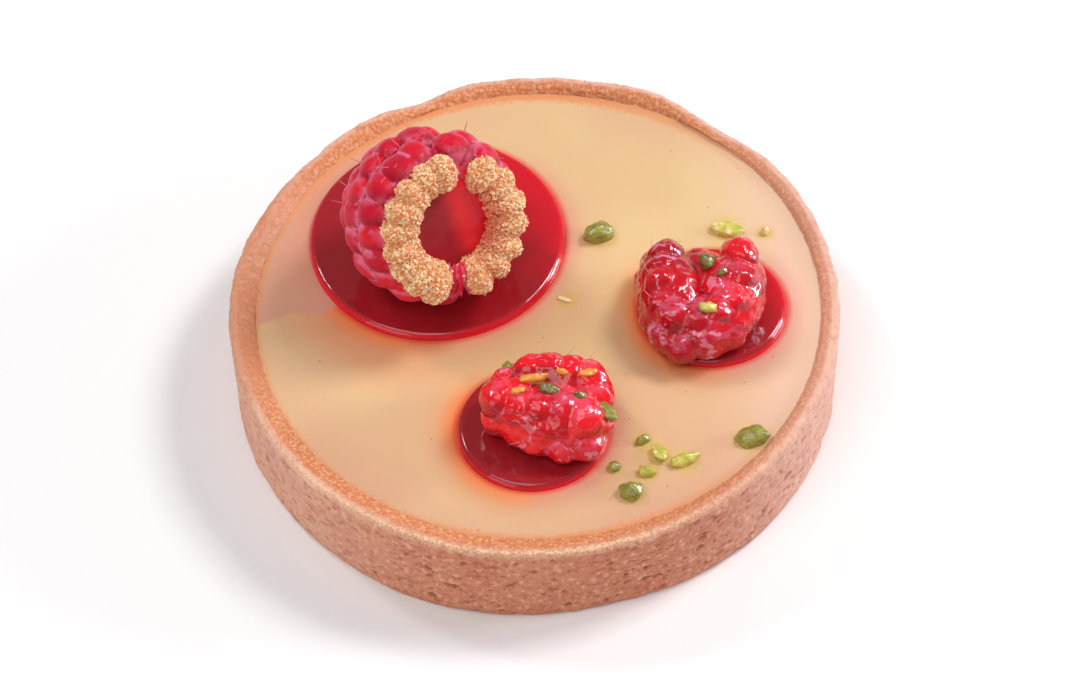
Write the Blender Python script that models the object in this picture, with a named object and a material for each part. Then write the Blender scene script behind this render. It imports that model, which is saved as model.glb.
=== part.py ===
"""A lemon tart: a short-crust shell filled with set lemon cream, three raised discs of raspberry coulis
let into the cream, a whole raspberry filled with coulis, two torn raspberries and chopped pistachio.

Metres, +Z up. The origin is the middle of the shell's flat underside. The whole raspberry lies at the
back left with its mouth towards the front (-Y), and the torn raspberries lie at the right and the front.
"""

import math

import bmesh
import bpy
from mathutils import Matrix, Vector, noise

MM = 0.001
GAP = 0.3 * MM  # clearance between pieces that rest in or on one another
WELD = 0.001 * MM
UP = Vector((0.0, 0.0, 1.0))

# The shell.
TART_RADIUS = 37.5 * MM
TART_HEIGHT = 13.0 * MM
SHELL_BASE = 2.6 * MM  # thickness of the pastry under the cream
SHELL_STEPS = 104  # segments round the shell
FILLING_RADIUS = 34.7 * MM  # inner face of the wall at the cream's level
FILLING_OFFSET = Vector((0.45, 0.30, 0.0)) * MM  # the dough is thicker at the front left
FILLING_DRAFT = 0.5 * MM  # the wall thickens by this much down to the base
FILLING_STEPS = 72
CREAM_LEVEL = TART_HEIGHT - 1.1 * MM
CRUMB_RELIEF = 0.16 * MM  # depth of the sandy crumb on the wall
CRUMB_SIZE = 2.6 * MM

# Dents and swellings: angle and half-width in degrees, then size. The rim and the foot have their own.
RIM_DENTS = (
    (29, 9, 0.20 * MM),
    (49, 8, -0.62 * MM),
    (65, 6, 0.48 * MM),
    (112, 6, -0.78 * MM),
    (137, 5, -0.22 * MM),
    (168, 14, 0.28 * MM),
)
FOOT_DENTS = (
    (184, 6, -0.32 * MM),
    (246, 13, 0.30 * MM),
    (283, 10, -0.48 * MM),
    (351, 6, -0.38 * MM),
)
RIM_HEIGHT_DENTS = (
    (49, 9, -0.22 * MM),
    (112, 6, -0.30 * MM),
    (213, 9, -0.30 * MM),
    (256, 6, -0.28 * MM),
    (309, 9, 0.20 * MM),
)

# The discs of coulis: middle, radius and segments round. Their tops stand a little proud of the cream.
COULIS_DISCS = {
    "coulis_disc_large": (Vector((-11.8, 11.7, 0.0)) * MM, 16.0 * MM, 48),
    "coulis_disc_right": (Vector((21.8, -0.8, 0.0)) * MM, 9.2 * MM, 36),
    "coulis_disc_front": (Vector((-0.7, -18.3, 0.0)) * MM, 9.2 * MM, 36),
}
DISC_RISE = 0.85 * MM  # height of a disc's top above the cream
DISC_SUNK = 1.2 * MM  # depth of its well in the cream
DISC_EDGE = 1.3 * MM  # width of its rounded edge
DISC_TOP = CREAM_LEVEL + DISC_RISE

# The whole raspberry. Its axis runs from the tip to the mouth, and its drupelets sit in rings.
BERRY_MIDDLE = Vector((-12.0 * MM, 6.4 * MM, CREAM_LEVEL + 11.2 * MM))
BERRY_AXIS = Vector((0.46, -0.75, 0.48)).normalized()
BERRY_RADIUS = 9.0 * MM  # of the widest ring, to its drupelets' middles
BERRY_MOUTH = 7.1 * MM  # of the ring round the mouth
BERRY_WIDE = 5.6 * MM  # from the mouth's ring to the widest one
BERRY_LENGTH = 15.0 * MM  # from the mouth's ring to the tip
MOUTH_CENTRE = BERRY_MIDDLE + BERRY_AXIS * BERRY_WIDE
MOUTH_ARCS = ((42.0, -91.0, 7), (-129.0, -279.0, 9))  # first and last drupelet in degrees, and how many
MOUTH_LIP = (35.0, 65.0, 95.0, 130.0, 165.0)  # the surface's rays over the mouth's ring, in degrees
DRUPELET = Vector((2.15, 1.8, 2.15)) * MM  # half sizes: outwards, round the berry, along it
RING_PITCH = 3.7 * MM
RINGS = 5
RING_ROWS = 4  # rows of the surface to a ring of drupelets
CAVITY_RADIUS = 4.7 * MM
CAVITY_DEPTH = 9.0 * MM  # from the mouth's ring
COULIS_FILL_TOP = 0.6 * MM  # the coulis stands this far inside the mouth's ring
FILL_STEPS = 28

# The torn raspberries: each is pulled open into two lobes, with a low one in the furrow between them. A
# lobe runs from one place to the other at its own scale, and its rings of drupelets taper towards both.
# A chip of pistachio has a place, with its height above the coulis, then half sizes and heading.
TORN_BERRIES = {
    "raspberry_torn_right": {
        "lobes": (
            ((15.9, 3.2), (17.6, -8.2), 1.05),
            ((25.2, 2.6), (22.0, -7.6), 1.0),
            ((20.6, 3.4), (20.0, -7.0), 0.72),
        ),
        "chips": (
            ((21.3, 1.6, 6.2), (1.6, 1.1, 1.7), 70),
            ((22.9, -1.4, 5.2), (0.8, 0.6, 0.6), 30),
            ((20.9, -6.6, 5.6), (1.2, 0.9, 0.8), 5),
        ),
    },
    "raspberry_torn_front": {
        "lobes": (
            ((-4.7, -18.2), (5.5, -22.8), 1.0),
            ((-2.3, -13.6), (7.1, -16.2), 1.0),
            ((-4.4, -15.6), (6.6, -20.0), 0.72),
        ),
        "chips": (
            ((-3.5, -12.9, 6.4), (0.9, 0.8, 0.8), 20),
            ((-0.5, -16.2, 6.6), (2.0, 0.9, 0.8), 10),
            ((1.4, -18.0, 6.4), (1.5, 0.9, 0.9), -15),
            ((4.8, -19.2, 6.3), (1.1, 0.7, 0.8), 20),
            ((8.3, -20.4, 5.2), (1.8, 1.1, 0.8), -55),
        ),
    },
}
LOBE_WIDTH = 2.05 * MM  # of a lobe's rings, to the drupelets' middles
LOBE_HEIGHT = 2.75 * MM
LOBE_LIFT = 4.15 * MM  # of the lobes' axes above the coulis
LOBE_RINGS = 5
LOBE_DRUPELETS = 6
LOBE_CORE = Vector((2.9, 2.4, 2.2)) * MM  # half sizes of the flesh under each ring: up, across, along
TORN_DRUPELET = Vector((1.75, 1.65, 1.75)) * MM
TORN_DETAIL = 0.42  # share of the faces that stays

# Chopped pistachio on the cream: place, half sizes and heading.
CREAM_PISTACHIOS = (
    ((8.5, 11.3), (2.3, 1.6, 1.6), 10),
    ((24.1, 11.4), (2.6, 1.2, 1.0), -15),
    ((29.0, 10.8), (0.9, 0.6, 0.7), 60),
    ((25.4, -20.9), (2.4, 1.7, 1.5), -8),
    ((12.4, -20.6), (1.3, 0.7, 0.9), 25),
    ((14.2, -22.7), (1.6, 0.9, 1.0), -62),
    ((17.2, -23.9), (1.9, 0.9, 0.9), 20),
    ((12.7, -25.4), (1.2, 0.8, 0.8), -15),
    ((8.8, -24.5), (0.9, 0.8, 0.8), 0),
    ((10.7, -28.3), (1.6, 1.5, 1.4), 20),
    ((3.9, 1.3), (1.0, 0.5, 0.5), -20),
)
CHIP_RISE = 0.35  # of a chip's half height, from the cream to its middle

CRUST_COLOUR = (0.80, 0.50, 0.33)
CREAM_COLOUR = (0.86, 0.66, 0.38)
COULIS_COLOUR = (0.42, 0.01, 0.03)
BERRY_COLOUR = (0.66, 0.02, 0.06)


# ---- tools ----------------------------------------------------------------------------------------


def clear_scene():
    """Removes whatever the file opened with."""
    for thing in list(bpy.data.objects):
        bpy.data.objects.remove(thing)


def material(name, colour, roughness):
    """A plain Principled material of one colour."""
    made = bpy.data.materials.new(name)
    made.use_nodes = True
    shader = made.node_tree.nodes["Principled BSDF"]
    shader.inputs["Base Color"].default_value = (*colour, 1.0)
    shader.inputs["Roughness"].default_value = roughness
    shader.inputs["Metallic"].default_value = 0.0
    return made


def object_from(bm, name, finish=None, collection=None):
    """Makes the bmesh an object, with its faces pointing out and its round parts smooth."""
    bmesh.ops.recalc_face_normals(bm, faces=bm.faces)
    mesh = bpy.data.meshes.new(name)
    bm.to_mesh(mesh)
    bm.free()
    mesh.shade_smooth()
    mesh.set_sharp_from_angle(angle=math.radians(50))
    made = bpy.data.objects.new(name, mesh)
    if finish:
        mesh.materials.append(finish)
    (collection or bpy.context.scene.collection).objects.link(made)
    return made


def helper_collection(name):
    """A collection for the shapes that a Boolean joins or cuts."""
    made = bpy.data.collections.new(name)
    bpy.context.scene.collection.children.link(made)
    return made


def apply_modifiers(target):
    """Makes the object's mesh what its modifiers show, and takes them off."""
    bpy.context.view_layer.update()
    graph = bpy.context.evaluated_depsgraph_get()
    result = bpy.data.meshes.new_from_object(target.evaluated_get(graph))
    target.modifiers.clear()
    target.data = result


def boolean(target, operation, helpers):
    """Joins or cuts the target with a collection of helpers, applies it and removes the helpers."""
    modifier = target.modifiers.new(operation.title(), "BOOLEAN")
    modifier.operation = operation
    modifier.operand_type = "COLLECTION"
    modifier.collection = helpers
    modifier.solver = "EXACT"
    apply_modifiers(target)
    for helper in list(helpers.objects):
        bpy.data.objects.remove(helper)
    bpy.data.collections.remove(helpers)


def thin_out(target, share):
    """Keeps a share of the faces, where the surface bends the most."""
    modifier = target.modifiers.new("Thin out", "DECIMATE")
    modifier.ratio = share
    modifier.use_collapse_triangulate = True
    apply_modifiers(target)


def turned(profile, steps):
    """A solid turned about Z from an open profile of (radius, height) that starts and ends on the axis."""
    bm = bmesh.new()
    verts = [bm.verts.new((radius, 0.0, height)) for radius, height in profile]
    edges = [bm.edges.new(pair) for pair in zip(verts, verts[1:])]
    bmesh.ops.spin(
        bm,
        geom=verts + edges,
        axis=(0, 0, 1),
        cent=(0, 0, 0),
        angle=math.tau,
        steps=steps,
        use_merge=True,
    )
    bmesh.ops.remove_doubles(bm, verts=bm.verts, dist=WELD)
    return bm


def dented(angle, dents):
    """The sum of the dents at an angle in radians: each is a smooth hump round its own angle."""
    total = 0.0
    for middle, half_width, size in dents:
        away = (math.degrees(angle) - middle + 180.0) % 360.0 - 180.0
        total += size * math.exp(-((away / half_width) ** 2))
    return total


# ---- the shell and the cream ----------------------------------------------------------------------


def shell_profile():
    """The shell's section: flat foot, upright wall, crest near the outside and a slope in to the cream."""
    outer, top = TART_RADIUS, TART_HEIGHT
    inner = FILLING_RADIUS
    return [
        (0.0, 0.0),
        (outer - 1.0 * MM, 0.0),
        (outer - 0.25 * MM, 0.3 * MM),
        (outer, 1.1 * MM),
        (outer, 0.32 * top),
        (outer, 0.55 * top),
        (outer, 0.77 * top),
        (outer - 0.05 * MM, top - 0.9 * MM),
        (outer - 0.35 * MM, top - 0.2 * MM),
        (outer - 1.0 * MM, top),
        (outer - 1.9 * MM, top - 0.35 * MM),
        (inner, CREAM_LEVEL + 0.1 * MM),
        (inner - FILLING_DRAFT, SHELL_BASE),
        (0.0, SHELL_BASE),
    ]


def shape_shell(bm):
    """Dents the rim and the foot, shifts the hollow off the middle and roughens the wall."""
    inner_face = FILLING_RADIUS + 0.1 * MM
    for vert in bm.verts:
        radius = vert.co.xy.length
        height = vert.co.z
        if radius < WELD:
            continue
        if radius <= inner_face and height > 0.0:
            vert.co += FILLING_OFFSET
            continue
        angle = math.atan2(vert.co.y, vert.co.x)
        outward = Vector((math.cos(angle), math.sin(angle), 0.0))
        share = height / TART_HEIGHT
        push = share * dented(angle, RIM_DENTS) + (1.0 - share) * dented(angle, FOOT_DENTS)
        rough = noise.noise(vert.co / CRUMB_SIZE) * CRUMB_RELIEF if height > 0.0 else 0.0
        vert.co += outward * (push + rough)
        if height > CREAM_LEVEL:
            crumbs = noise.noise(vert.co / CRUMB_SIZE + Vector((7.0, 0.0, 0.0))) * CRUMB_RELIEF
            vert.co.z += dented(angle, RIM_HEIGHT_DENTS) + crumbs


def make_shell(finish):
    """The short-crust shell."""
    bm = turned(shell_profile(), SHELL_STEPS)
    shape_shell(bm)
    return object_from(bm, "crust", finish)


def pistachio_chip(place, half_sizes, heading, seed, collection):
    """One chip of pistachio: a lopsided block with a few flat broken faces."""
    bm = bmesh.new()
    bmesh.ops.create_icosphere(bm, subdivisions=1, radius=1.0)
    for vert in bm.verts:
        wobble = noise.noise(vert.co * 1.7 + Vector((seed * 5.3, seed * 2.1, 0.0)))
        vert.co *= 1.0 + 0.45 * wobble
    turn = Matrix.Rotation(math.radians(heading), 4, "Z")
    bm.transform(Matrix.Translation(place) @ turn @ Matrix.Diagonal((*half_sizes, 1.0)))
    return object_from(bm, f"chip_{seed}", collection=collection)


def cut_wells(cream):
    """Cuts the well that each disc of coulis sits in."""
    wells = helper_collection("wells")
    floor, top = CREAM_LEVEL - DISC_SUNK, TART_HEIGHT
    for name, (middle, radius, steps) in COULIS_DISCS.items():
        well = turned([(0.0, floor), (radius, floor), (radius, top), (0.0, top)], steps)
        object_from(well, f"well_{name}", collection=wells).location = middle
    boolean(cream, "DIFFERENCE", wells)


def make_cream(finish):
    """The lemon cream, with a well for each coulis disc and the pistachio that lies on it."""
    wall = FILLING_RADIUS - GAP
    bottom = SHELL_BASE + GAP
    profile = [
        (0.0, bottom),
        (wall - FILLING_DRAFT, bottom),
        (wall, CREAM_LEVEL + 0.1 * MM),
        (wall - 1.2 * MM, CREAM_LEVEL - 0.1 * MM),
        (0.5 * wall, CREAM_LEVEL),
        (0.0, CREAM_LEVEL),
    ]
    bm = turned(profile, FILLING_STEPS)
    bmesh.ops.translate(bm, verts=bm.verts, vec=FILLING_OFFSET)
    cream = object_from(bm, "lemon_cream", finish)
    cut_wells(cream)
    chips = helper_collection("cream_chips")
    for number, ((x, y), half_sizes, heading) in enumerate(CREAM_PISTACHIOS):
        place = Vector((x, y, CHIP_RISE * half_sizes[2])) * MM + UP * CREAM_LEVEL
        pistachio_chip(place, Vector(half_sizes) * MM, heading, number, chips)
    boolean(cream, "UNION", chips)
    return cream


def make_disc(name, middle, radius, steps, finish):
    """One disc of set coulis: flat, with a rounded edge that stands proud of the cream."""
    edge = radius - GAP
    bottom = CREAM_LEVEL - DISC_SUNK + GAP
    profile = [(0.0, bottom), (edge, bottom)]
    for turn in (0.0, 30.0, 60.0, 90.0):
        along = math.radians(turn)
        inset = DISC_EDGE * (1.0 - math.cos(along))
        profile.append((edge - inset, CREAM_LEVEL + DISC_RISE * math.sin(along)))
    profile.append((0.0, DISC_TOP))
    disc = object_from(turned(profile, steps), name, finish)
    disc.location = middle
    return disc


# ---- the raspberries ------------------------------------------------------------------------------


def drupelet(middle, outward, along, half_sizes):
    """One drupelet as its middle and the matrix that makes its ellipsoid a unit ball round the origin."""
    outward = outward.normalized()
    across = along.cross(outward).normalized()
    along = outward.cross(across)
    turn = Matrix((outward, across, along))
    return middle, Matrix.Diagonal([1.0 / size for size in half_sizes]) @ turn


def reach(origin, direction, drupelets, least):
    """How far a ray from the origin goes before it leaves the last drupelet, and never less than least."""
    farthest = least
    for middle, to_ball in drupelets:
        start = to_ball @ (origin - middle)
        step = to_ball @ direction
        half = start.dot(step)
        square = step.length_squared
        inside = half * half - square * (start.length_squared - 1.0)
        if inside > 0.0:
            farthest = max(farthest, (math.sqrt(inside) - half) / square)
    return farthest


def cut_flat(berry, middle):
    """Cuts a berry flat, a gap above the disc of coulis that it rests on."""
    cutters = helper_collection("cutters")
    size = 40 * MM
    bm = bmesh.new()
    bmesh.ops.create_cube(bm, size=size)
    cutter = object_from(bm, "floor_cutter", collection=cutters)
    cutter.location = (middle.x, middle.y, DISC_TOP + GAP - size / 2)
    boolean(berry, "DIFFERENCE", cutters)


def berry_radius(distance):
    """The whole berry's radius, to its drupelets' middles, at a distance from the mouth's ring."""
    if distance < BERRY_WIDE:
        swell = math.sin(0.5 * math.pi * distance / BERRY_WIDE)
        return BERRY_MOUTH + (BERRY_RADIUS - BERRY_MOUTH) * swell
    share = min(1.0, (distance - BERRY_WIDE) / (BERRY_LENGTH - BERRY_WIDE))
    return BERRY_RADIUS * (1.0 - share**2.2) ** 0.6


def berry_walk(pitch):
    """(distance, radius) of points a pitch apart along the berry's side, from the mouth's ring on."""
    points = [(0.0, BERRY_MOUTH)]
    step = 0.02 * MM
    walked = 0.0
    distance = 0.0
    while distance < BERRY_LENGTH - step:
        walked += math.hypot(step, berry_radius(distance + step) - berry_radius(distance))
        distance += step
        if walked >= pitch:
            points.append((distance, berry_radius(distance)))
            walked -= pitch
    return points


def halfway(angles):
    """The angles half way between neighbours, all the way round."""
    ordered = sorted(angle % math.tau for angle in angles)
    following = ordered[1:] + [ordered[0] + math.tau]
    return [(a + b) / 2 for a, b in zip(ordered, following)]


def mouth_angles():
    """The angles of the drupelets round the mouth: two arcs, with a wider gap between them."""
    angles = []
    for first, last, count in MOUTH_ARCS:
        angles += [math.radians(first + (last - first) * n / (count - 1)) for n in range(count)]
    return angles


def berry_outward(angle):
    """The direction straight out from the berry's axis: 0 is level, towards +X, and 90 degrees upward."""
    level = UP.cross(BERRY_AXIS).normalized()
    return level * math.cos(angle) + BERRY_AXIS.cross(level) * math.sin(angle)


def berry_point(angle, radius, distance):
    """A point of the berry, from its angle round the axis, its radius and how far inside the mouth."""
    return MOUTH_CENTRE + berry_outward(angle) * radius - BERRY_AXIS * distance


def berry_normal(angle, distance):
    """The side's outward normal, which leans to the mouth or the tip as the side opens or closes."""
    step = 0.1 * MM
    slope = (berry_radius(distance + step) - berry_radius(distance)) / step
    return (berry_outward(angle) + BERRY_AXIS * max(-2.5, slope)).normalized()


def berry_drupelets():
    """Every drupelet of the whole berry, each ring turned by half a drupelet from the one before."""
    spots = mouth_angles()
    between = halfway(spots)
    made = []
    for number, (distance, radius) in enumerate(berry_walk(RING_PITCH)[:RINGS]):
        squeeze = min(1.0, radius / BERRY_RADIUS + 0.12)
        for angle in between if number % 2 else spots:
            middle = berry_point(angle, radius, distance)
            size = 1.0 + 0.08 * noise.noise(middle / (3.0 * MM))
            half_sizes = Vector((DRUPELET.x, DRUPELET.y * squeeze, DRUPELET.z)) * size
            made.append(drupelet(middle, berry_normal(angle, distance), BERRY_AXIS, half_sizes))
    return made


def berry_rays(angle):
    """The (start, direction, least reach) of each row of the berry's surface at an angle, tip to mouth."""
    rays = []
    below = 1.2 * MM
    for distance, radius in reversed(berry_walk(RING_PITCH / RING_ROWS)):
        normal = berry_normal(angle, distance)
        start = berry_point(angle, radius, distance) - normal * below
        rays.append((start, normal, below + 0.2 * MM))
    for turn in MOUTH_LIP:
        lean = math.radians(turn)
        direction = berry_outward(angle) * math.cos(lean) + BERRY_AXIS * math.sin(lean)
        rays.append((berry_point(angle, BERRY_MOUTH, 0.0), direction, below))
    return rays


def cavity_profile(inset):
    """(radius, distance inside the mouth) down the wall of the berry's hollow, drawn in by an inset."""
    return [
        (CAVITY_RADIUS - inset, 2.0 * MM),
        (0.8 * CAVITY_RADIUS - inset, 0.8 * CAVITY_DEPTH - inset),
        (0.45 * CAVITY_RADIUS - inset, CAVITY_DEPTH - inset),
    ]


def make_whole_berry(finish):
    """The whole raspberry: rings of drupelets, a hollow behind the mouth and a flat underneath."""
    drupelets = berry_drupelets()
    spots = mouth_angles()
    columns = spots + halfway(spots)
    columns = sorted(angle % math.tau for angle in columns + halfway(columns))
    nearby = 5.0 * MM
    bm = bmesh.new()
    grid = []
    for angle in columns:
        column = []
        for start, direction, least in berry_rays(angle):
            near = [one for one in drupelets if (one[0] - start).length < nearby]
            column.append(bm.verts.new(start + direction * reach(start, direction, near, least)))
        column += [bm.verts.new(berry_point(angle, *place)) for place in cavity_profile(0.0)]
        grid.append(column)
    tip = bm.verts.new(berry_point(0.0, 0.0, BERRY_LENGTH + 0.5 * DRUPELET.x))
    bottom = bm.verts.new(berry_point(0.0, 0.0, CAVITY_DEPTH))
    for column, neighbour in zip(grid, grid[1:] + grid[:1]):
        bm.faces.new((tip, column[0], neighbour[0]))
        bm.faces.new((bottom, neighbour[-1], column[-1]))
        for row in range(len(column) - 1):
            bm.faces.new((column[row], column[row + 1], neighbour[row + 1], neighbour[row]))
    berry = object_from(bm, "raspberry_whole", finish)
    cut_flat(berry, BERRY_MIDDLE)
    return berry


def make_berry_coulis(finish):
    """The coulis that fills the whole raspberry's hollow nearly to its mouth."""
    top = COULIS_FILL_TOP
    edge = CAVITY_RADIUS - GAP
    profile = [(0.0, top + 0.3 * MM), (edge - 0.5 * MM, top), (edge, top + 0.3 * MM)]
    profile += cavity_profile(GAP) + [(0.0, CAVITY_DEPTH - GAP)]
    bm = turned([(radius, -distance) for radius, distance in profile], FILL_STEPS)
    fill = object_from(bm, "raspberry_coulis_fill", finish)
    fill.location = MOUTH_CENTRE
    fill.rotation_mode = "QUATERNION"
    fill.rotation_quaternion = BERRY_AXIS.to_track_quat("Z", "Y")
    return fill


def lobe_drupelets(first, last, scale):
    """The drupelets of one lobe of a torn berry: rings along a line, smaller at both ends, and a core."""
    lift = UP * (DISC_TOP + LOBE_LIFT * scale)
    start = Vector((*first, 0.0)) * MM + lift
    end = Vector((*last, 0.0)) * MM + lift
    along = (end - start).normalized()
    sideways = UP.cross(along)
    made = []
    for ring in range(LOBE_RINGS):
        share = ring / (LOBE_RINGS - 1)
        centre = start.lerp(end, share)
        taper = scale * (1.0 - 0.35 * abs(2.0 * share - 1.0) ** 2.5)
        for place in range(LOBE_DRUPELETS):
            angle = math.tau * (place + 0.5 * (ring % 2)) / LOBE_DRUPELETS
            across = sideways * math.cos(angle) * LOBE_WIDTH + UP * math.sin(angle) * LOBE_HEIGHT
            middle = centre + across * taper
            size = 1.0 + 0.25 * noise.noise(middle / (2.5 * MM) + Vector((3.0, 0, 0)))
            made.append(drupelet(middle, across, along, TORN_DRUPELET * size))
        made.append(drupelet(centre, UP, along, LOBE_CORE * taper))
    return made


def make_torn_berry(name, lobes, chips, finish):
    """A torn raspberry: its outermost surface as seen from its middle, cut flat, with its pistachio."""
    drupelets = []
    for first, last, scale in lobes:
        drupelets += lobe_drupelets(first, last, scale)
    middle = sum((place for place, _ in drupelets), Vector()) / len(drupelets)
    middle.z = DISC_TOP + 0.5 * LOBE_LIFT
    bm = bmesh.new()
    bmesh.ops.create_icosphere(bm, subdivisions=5, radius=1.0)
    for vert in bm.verts:
        direction = vert.co.normalized()
        vert.co = middle + direction * reach(middle, direction, drupelets, 3.0 * MM)
    berry = object_from(bm, name, finish)
    cut_flat(berry, middle)
    thin_out(berry, TORN_DETAIL)
    helpers = helper_collection(f"{name}_chips")
    for number, (place, half_sizes, heading) in enumerate(chips):
        place = Vector(place) * MM + UP * DISC_TOP
        pistachio_chip(place, Vector(half_sizes) * MM, heading, 20 + number, helpers)
    boolean(berry, "UNION", helpers)
    return berry


def main():
    clear_scene()
    pastry = material("baked_pastry", CRUST_COLOUR, 0.8)
    cream = material("lemon_cream", CREAM_COLOUR, 0.3)
    coulis = material("raspberry_coulis", COULIS_COLOUR, 0.1)
    berry = material("raspberry", BERRY_COLOUR, 0.3)
    make_shell(pastry)
    make_cream(cream)
    for name, (middle, radius, steps) in COULIS_DISCS.items():
        make_disc(name, middle, radius, steps, coulis)
    make_whole_berry(berry)
    make_berry_coulis(coulis)
    for name, spec in TORN_BERRIES.items():
        make_torn_berry(name, spec["lobes"], spec["chips"], berry)


main()
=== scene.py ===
"""The looks of a lemon tart: baked crust, glazed lemon cream, raspberry gel, raspberries and pistachio.

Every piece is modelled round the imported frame, in metres, +Z up, and stands for the node that it replaces.
"""

import logging
import math
from contextlib import contextmanager
from dataclasses import dataclass, field, replace
from enum import Enum
from functools import lru_cache
from typing import Callable, Iterator, Sequence, Union

import bpy
import numpy as np
from mathutils import Matrix, Vector, noise
from mathutils.bvhtree import BVHTree


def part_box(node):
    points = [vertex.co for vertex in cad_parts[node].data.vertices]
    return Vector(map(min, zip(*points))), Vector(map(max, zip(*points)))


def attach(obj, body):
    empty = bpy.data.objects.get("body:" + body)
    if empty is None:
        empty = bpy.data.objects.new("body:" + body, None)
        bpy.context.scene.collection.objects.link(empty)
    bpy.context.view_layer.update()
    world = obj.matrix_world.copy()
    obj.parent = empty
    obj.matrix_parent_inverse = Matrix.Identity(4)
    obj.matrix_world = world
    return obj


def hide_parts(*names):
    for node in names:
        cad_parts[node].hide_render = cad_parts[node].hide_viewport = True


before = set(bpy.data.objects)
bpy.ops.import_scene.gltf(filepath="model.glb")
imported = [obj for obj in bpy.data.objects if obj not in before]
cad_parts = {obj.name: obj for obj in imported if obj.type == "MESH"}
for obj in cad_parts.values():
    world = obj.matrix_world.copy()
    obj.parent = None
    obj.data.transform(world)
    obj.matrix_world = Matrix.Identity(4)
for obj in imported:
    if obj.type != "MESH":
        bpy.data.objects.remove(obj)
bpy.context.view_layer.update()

MM = 0.001
WELD = 0.001 * MM
BODY = "root"
NOISE_SEED = 4  # without it the vector noise starts from the clock
TINT_SEED, HAIR_SEED, CRUMB_SEED = 5, 3, 11
UP = Vector((0.0, 0.0, 1.0))
CREAM_LEVEL = 11.9 * MM
HOLLOW_SHIFT = (0.45 * MM, 0.30 * MM, 0.0)  # the shell's hollow lies off the middle
DISC_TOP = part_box("coulis_disc_large")[1].z
BERRY_FLOOR = DISC_TOP + 0.1 * MM  # the berries are cut flat here, just clear of the coulis

log = logging.getLogger("lemon_tart")

Colour = tuple[float, float, float, float]
Pair = tuple[float, float]
Profile = list[Pair]
Triple = tuple[float, float, float]


def srgb(red: int, green: int, blue: int) -> Colour:
    """Turns an 8-bit screen colour into the linear colour that a shader takes.

    Args:
        red, green, blue: the screen colour, 0 to 255.

    Returns:
        The linear colour with full alpha.
    """
    linear = []
    for level in (red, green, blue):
        share = level / 255.0
        linear.append(share / 12.92 if share <= 0.04045 else ((share + 0.055) / 1.055) ** 2.4)
    return (*linear, 1.0)


# ---- shader graphs --------------------------------------------------------------------------------


def operator(operation: str, swapped: bool = False) -> Callable[["Value", "Input"], "Value"]:
    """An operator of Value that adds one Math node.

    Args:
        operation: the node's operation.
        swapped: whether the value stands on the operator's right.

    Returns:
        The method.
    """

    def method(self: "Value", other: "Input") -> "Value":
        """The result of the operation."""
        return self.math(operation, other, self) if swapped else self.math(operation, self, other)

    return method


class Value:
    """A socket of a shader graph. Python's operators on it add Math nodes."""

    def __init__(self, graph: "Graph", socket: bpy.types.NodeSocket) -> None:
        """Wraps an output socket of a graph."""
        self.graph = graph
        self.socket = socket

    def math(self, operation: str, *terms: "Input") -> "Value":
        """Adds one Math node with the given terms."""
        return self.graph.node("ShaderNodeMath", {"operation": operation}, dict(enumerate(terms)))

    __add__, __radd__ = operator("ADD"), operator("ADD", swapped=True)
    __sub__, __rsub__ = operator("SUBTRACT"), operator("SUBTRACT", swapped=True)
    __mul__, __rmul__ = operator("MULTIPLY"), operator("MULTIPLY", swapped=True)
    __truediv__, __rtruediv__ = operator("DIVIDE"), operator("DIVIDE", swapped=True)
    least = operator("MINIMUM")

    def root(self) -> "Value":
        """The square root."""
        return self.math("SQRT", self)

    def ramp(self, start: float, end: float) -> "Value":
        """Rises smoothly from 0 at start to 1 at end; start may be the larger one.

        Args:
            start: where the rise is 0.
            end: where it is 1.

        Returns:
            The rise.
        """
        low, high, first, last = (start, end, 0.0, 1.0) if start < end else (end, start, 1.0, 0.0)
        inputs = {0: self, 1: low, 2: high, 3: first, 4: last}
        return self.graph.node("ShaderNodeMapRange", {"interpolation_type": "SMOOTHSTEP"}, inputs)


Input = Union[float, Sequence[float], Value]


def around(x: Value, y: Value, middle: Sequence[float]) -> tuple[Value, Value, Value]:
    """Where a place lies round an upright axis.

    Args:
        x, y: the place's coordinates.
        middle: the axis's coordinates.

    Returns:
        The ways from the axis along x and y, and the distance from it.
    """
    from_x, from_y = x - middle[0], y - middle[1]
    return from_x, from_y, (from_x * from_x + from_y * from_y).root()


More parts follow.
